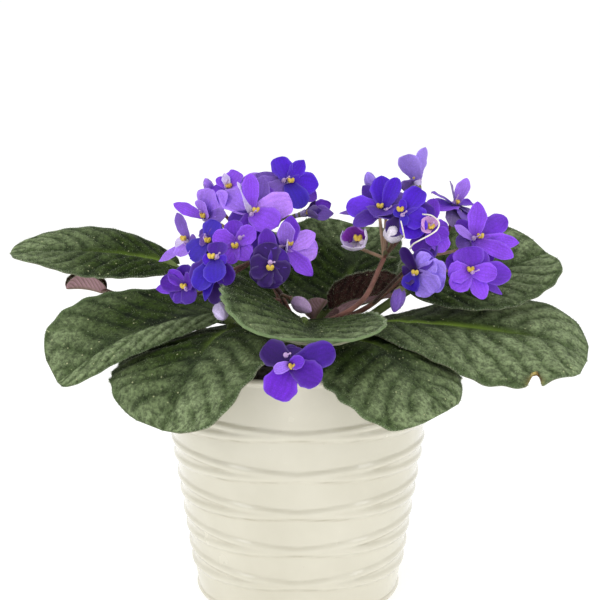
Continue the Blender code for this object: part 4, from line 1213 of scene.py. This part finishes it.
def build_flower(spec, petals, yellow, seed):
    name, slot, centre, facing, anthers, pistil, depth, lobes = spec
    base = flower_base(centre, facing, depth)
    centre = np.array(centre, float)
    facing, side, up = across_axes(facing)
    skin = Skin()
    for number, lobe in enumerate(lobes):
        add_petal(skin, centre + facing * (0.22 * (number % 3)), facing, lobe, seed + number)
    share = np.linspace(0, 1, 10)
    add_tube(skin, base + (centre - facing * 0.2 - base) * share[:, None], 1.25 + 0.9 * share ** 2,
             16, **plain_marks("pale", 0.8, reach=0.8, front=0.5))
    add_pistil(skin, centre + side * pistil[0] + up * pistil[1], facing, side, up)
    for curl in CURLS if name == CURLED_FLOWER else ():
        add_tube(skin, smooth_path(curl, CURL_ROWS), CURL_RADIUS, **plain_marks("cream", 1.1))
    skin.piece(name + "_corolla", petals[slot], (name,))
    stamens = Skin()
    place = centre + side * anthers[0] + up * anthers[1] + facing * 1.5
    add_anthers(stamens, place, facing, ANTHER_SIZE)
    stamens.piece(name + "_anthers", yellow)


def bud_girth(share):
    return np.sin(math.pi * share ** 0.85) ** 0.62


def add_closed_bud(skin, base, axes, length, radius, tone):
    """Bud of five lapped petals."""
    facing, side, up = axes
    share = np.linspace(0.02, 0.985, BUD_ROWS)[:, None]
    angles = circle(BUD_COLUMNS)
    fold = (5 * angles / (2 * math.pi) + 0.9 * share) % 1.0
    girth = radius * bud_girth(share) * (0.90 + 0.10 * fold)
    rings = (base + facing * (length * share)[:, :, None]
             + ring_about(side, up, angles) * girth[:, :, None])
    add_rings(skin, rings, base, base + facing * length, edge=bell(fold - 0.93, 0.07),
              **plain_marks(tone, reach=np.broadcast_to(0.25 + 0.75 * share, girth.shape)))


def build_bud(spec, material, yellow, hair_material, seed):
    name, base, facing, length, radius, tone = spec
    axes = facing, side, up = across_axes(facing)
    base = np.array(base, float)
    skin = Skin()
    if name == OPEN_BUD:
        centre = base + facing
        for number, lobe in enumerate(GLOBE_PETALS):
            add_petal(skin, centre + facing * 0.25 * number, facing, lobe, seed + number)
        add_ball(skin, centre + facing * 3 + side * 3.0 - up * 0.4, facing, 4.4, 1.4,
                 **plain_marks(tone, 0.9))
        stamens = Skin()
        place = centre + facing * 5.0 + side * 1.4 + up * 0.6
        add_anthers(stamens, place, facing, OPEN_BUD_ANTHER_SIZE)
        stamens.piece(name + "_anthers", yellow)
        skin.piece(name + "_petals", material, (name,))
        return
    add_closed_bud(skin, base, axes, length, radius, tone)
    for turn, place in BUD_SPOTS if name == SPOTTED_BUD else ():
        out = ring_about(side, up, turn)
        spot = base + facing * (length * place) + out * (radius * bud_girth(place) * 0.95)
        add_ball(skin, spot, out, 0.5, 0.45, 5, 8, **plain_marks("shade"))
    skin.piece(name + "_petals", material, (name,))
    rng = np.random.default_rng(seed)
    share = rng.uniform(0.05, 0.9, BUD_HAIRS)
    out = ring_about(side, up, rng.uniform(0, 2 * math.pi, BUD_HAIRS))
    share = share[:, None]
    roots = base + facing * (length * share) + out * (radius * bud_girth(share) * 0.93)
    lean = out + facing * 0.4 + 0.3 * rng.normal(size=out.shape)
    hairs = Skin()
    add_hairs(hairs, roots, lean, rng.uniform(0.4, 0.9, BUD_HAIRS), BUD_HAIR_RADIUS, seed + 1)
    hairs.piece(name + "_hairs", hair_material)


def carried_end(name):
    """Where the stem of a flower or bud ends, and its facing."""
    for other, _, centre, facing, _, _, depth, _ in FLOWERS:
        if other == name:
            facing = unit(facing)
            return flower_base(centre, facing, depth) - facing * (GAP + 0.2), facing
    base, facing = next(bud[1:3] for bud in BUDS if bud[0] == name)
    facing = unit(facing)
    return base - facing * (GAP + 0.1), facing


def sepal_shape(name):
    """Length of the sepals round the foot of a flower or bud, and how far they open."""
    if name.startswith("flower"):
        return FLOWER_SEPALS
    return 3.0 + 0.45 * next(bud[4] for bud in BUDS if bud[0] == name), 40


def add_stem(skin, hairs, path, radii, tone, seed):
    """A round stem with its hairs."""
    add_tube(skin, path, radii, 10, **plain_marks(tone, reach=0.5))
    rng = np.random.default_rng(seed)
    length = np.linalg.norm(np.diff(path, axis=0), axis=1).sum()
    count = int(length * HAIRS_PER_MM)
    places = rng.uniform(0, len(path) - 1.01, count)
    low = places.astype(int)
    share = (places - low)[:, None]
    middle = path[low] * (1 - share) + path[low + 1] * share
    out = square_to(rng.normal(size=(count, 3)), tangents(path)[low])
    lean = out + 0.3 * rng.normal(size=out.shape)
    add_hairs(hairs, middle + out * (radii[low] * 0.9)[:, None], lean, rng.uniform(0.6, 1.5, count),
              HAIR_RADIUS, seed + 1)


def build_stalk(spec, material, hair_material, seed):
    name, turn, height, points, tone, carried = spec
    knots = [seat(turn, height, 0.0), *np.array(points, float)]
    skin = Skin()
    hairs = Skin()
    shared = len(carried) > 1
    if shared:
        path = smooth_path(knots, PEDUNCLE_ROWS)
        radii = np.linspace(PEDUNCLE_RADIUS, PEDUNCLE_RADIUS * 0.8, PEDUNCLE_ROWS)
        add_stem(skin, hairs, path, radii, tone, seed)
        for number in range(BRACTS):
            bract = (seed * 37 + 130 * number, 7.5, 2.4, 35, -20, 0.3, 0.6, "olive")
            add_petal(skin, knots[-1], tangents(path)[-1], bract, seed + number, BRACT_THICKNESS)
    for number, (other, knot, own_tone) in enumerate(carried):
        end, facing = carried_end(other)
        if shared:
            bend = end - facing * min(0.35 * np.linalg.norm(end - knots[knot]), LONGEST_BEND)
            path = smooth_path((knots[knot], bend, end), PEDICEL_ROWS)
            radii = np.linspace(PEDICEL_RADIUS * 1.1, PEDICEL_RADIUS, PEDICEL_ROWS)
        else:
            path = smooth_path((*knots, end), LONE_STALK_ROWS)
            radii = np.linspace(PEDUNCLE_RADIUS, PEDICEL_RADIUS, LONE_STALK_ROWS)
        radii = radii + 0.55 * bell(np.arange(len(radii))[::-1], 1.6)
        add_stem(skin, hairs, path, radii, own_tone, seed + 10 + number)
        length, opening = sepal_shape(other)
        for k in range(SEPALS):
            angle = 36 + 360 / SEPALS * k
            sepal = (angle, length, SEPAL_WIDTH, opening, 25, 0.25, 0.7, "olive")
            add_petal(skin, end - facing * 0.5, facing, sepal, seed + 40 + number + k,
                      SEPAL_THICKNESS)
    skin.piece(name + "_skin", material, (name,))
    hairs.piece(name + "_hairs", hair_material)


# Stage

def build_stage():
    mesh = bpy.data.meshes.new("floor")
    half = FLOOR_HALF * MM
    corners = [(-half, -half, 0), (half, -half, 0), (half, half, 0), (-half, half, 0)]
    mesh.from_pydata(corners, [], [(0, 1, 2, 3)])
    finish = Finish("floor_paper", Base_Color=(0.85, 0.85, 0.85), Roughness=0.9,
                    Emission_Color=(1.0, 1.0, 1.0), Emission_Strength=FLOOR_GLOW)
    mesh.materials.append(finish.material)
    put("floor", mesh)


def add_light(name, place, size, power):
    """Rectangular lamp turned to the plant."""
    lamp = bpy.data.lights.new(name, "AREA")
    lamp.shape = "RECTANGLE"
    lamp.size, lamp.size_y = size
    lamp.energy = power
    item = put(name, lamp)
    item.location = place
    direction = np.array(place) - LIGHT_TARGET
    tilt = math.acos(direction[2] / np.linalg.norm(direction))
    item.rotation_euler = (tilt, 0.0, math.atan2(direction[0], -direction[1]))


def build_world():
    """White to the camera, and soft light that is stronger from the sides and above."""
    world = bpy.data.worlds.new("studio")
    world.use_nodes = True
    wires = Wiring(world.node_tree)
    background = wires.tree.nodes["Background"]
    background.inputs["Color"].default_value = (1.0, 1.0, 1.0, 1.0)
    split = wires.node("ShaderNodeSeparateXYZ")
    wires.link(wires.node("ShaderNodeTexCoord").outputs["Generated"], split.inputs[0])
    seen = wires.node("ShaderNodeLightPath").outputs["Is Camera Ray"]
    sides = wires.scaled(wires.maths("ABSOLUTE", split.outputs["X"]), SIDE_LIGHT)
    above = wires.scaled(wires.maths("MAXIMUM", split.outputs["Z"]), TOP_LIGHT)
    glow = wires.maths("ADD", wires.maths("ADD", sides, above), BASE_LIGHT)
    strength = wires.maths("MAXIMUM", glow, wires.scaled(seen, BACKDROP_LIGHT))
    wires.link(strength, background.inputs["Strength"])
    bpy.context.scene.world = world


def build_camera():
    data = bpy.data.cameras.new("camera")
    data.lens = CAMERA_LENS
    data.sensor_width = CAMERA_SENSOR
    data.clip_start = 0.01
    data.clip_end = 100.0
    camera = put("camera", data)
    camera.location = [value * MM for value in CAMERA_PLACE]
    camera.rotation_euler = (math.radians(90 - CAMERA_PITCH), 0.0, 0.0)
    bpy.context.scene.camera = camera


def build_plant():
    hair = hair_finish()
    yellow = mottled_finish("anther_yellow", 500.0, 0.6, 0.4)
    build_crown(mottled_finish("crown_stem", 120.0, 0.65), hair)
    velvets = {young: leaf_finish(name, *VELVETS[name])
               for young, name in ((False, "leaf_velvet"), (True, "leaf_young_velvet"))}
    for number, spec in enumerate(LEAVES):
        build_leaf(spec, velvets[spec[0] in YOUNG], hair, SEEDS["leaf"] + 10 * number)
    petals = {slot: petal_finish(slot) for slot in ("petal_deep", "petal_bright", "petal_lilac")}
    for number, spec in enumerate(FLOWERS):
        build_flower(spec, petals, yellow, SEEDS["flower"] + 10 * number)
    bud_petals = petal_finish("bud_petals")
    for number, spec in enumerate(BUDS):
        build_bud(spec, bud_petals, yellow, hair, SEEDS["bud"] + 10 * number)
    stem = stem_finish()
    for number, spec in enumerate(STALKS):
        build_stalk(spec, stem, hair, SEEDS["stalk"] + 100 * number)


def main():
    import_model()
    bpy.context.scene.view_settings.view_transform = "Standard"
    build_camera()
    build_stage()
    build_world()
    for light in LIGHTS:
        add_light(*light)
    build_pot(pot_finish())
    build_soil(mottled_finish("soil_peat", 160.0, 0.9, 0.6),
               mottled_finish("soil_crumbs", 400.0, 0.9, 0.6))
    build_plant()


main()
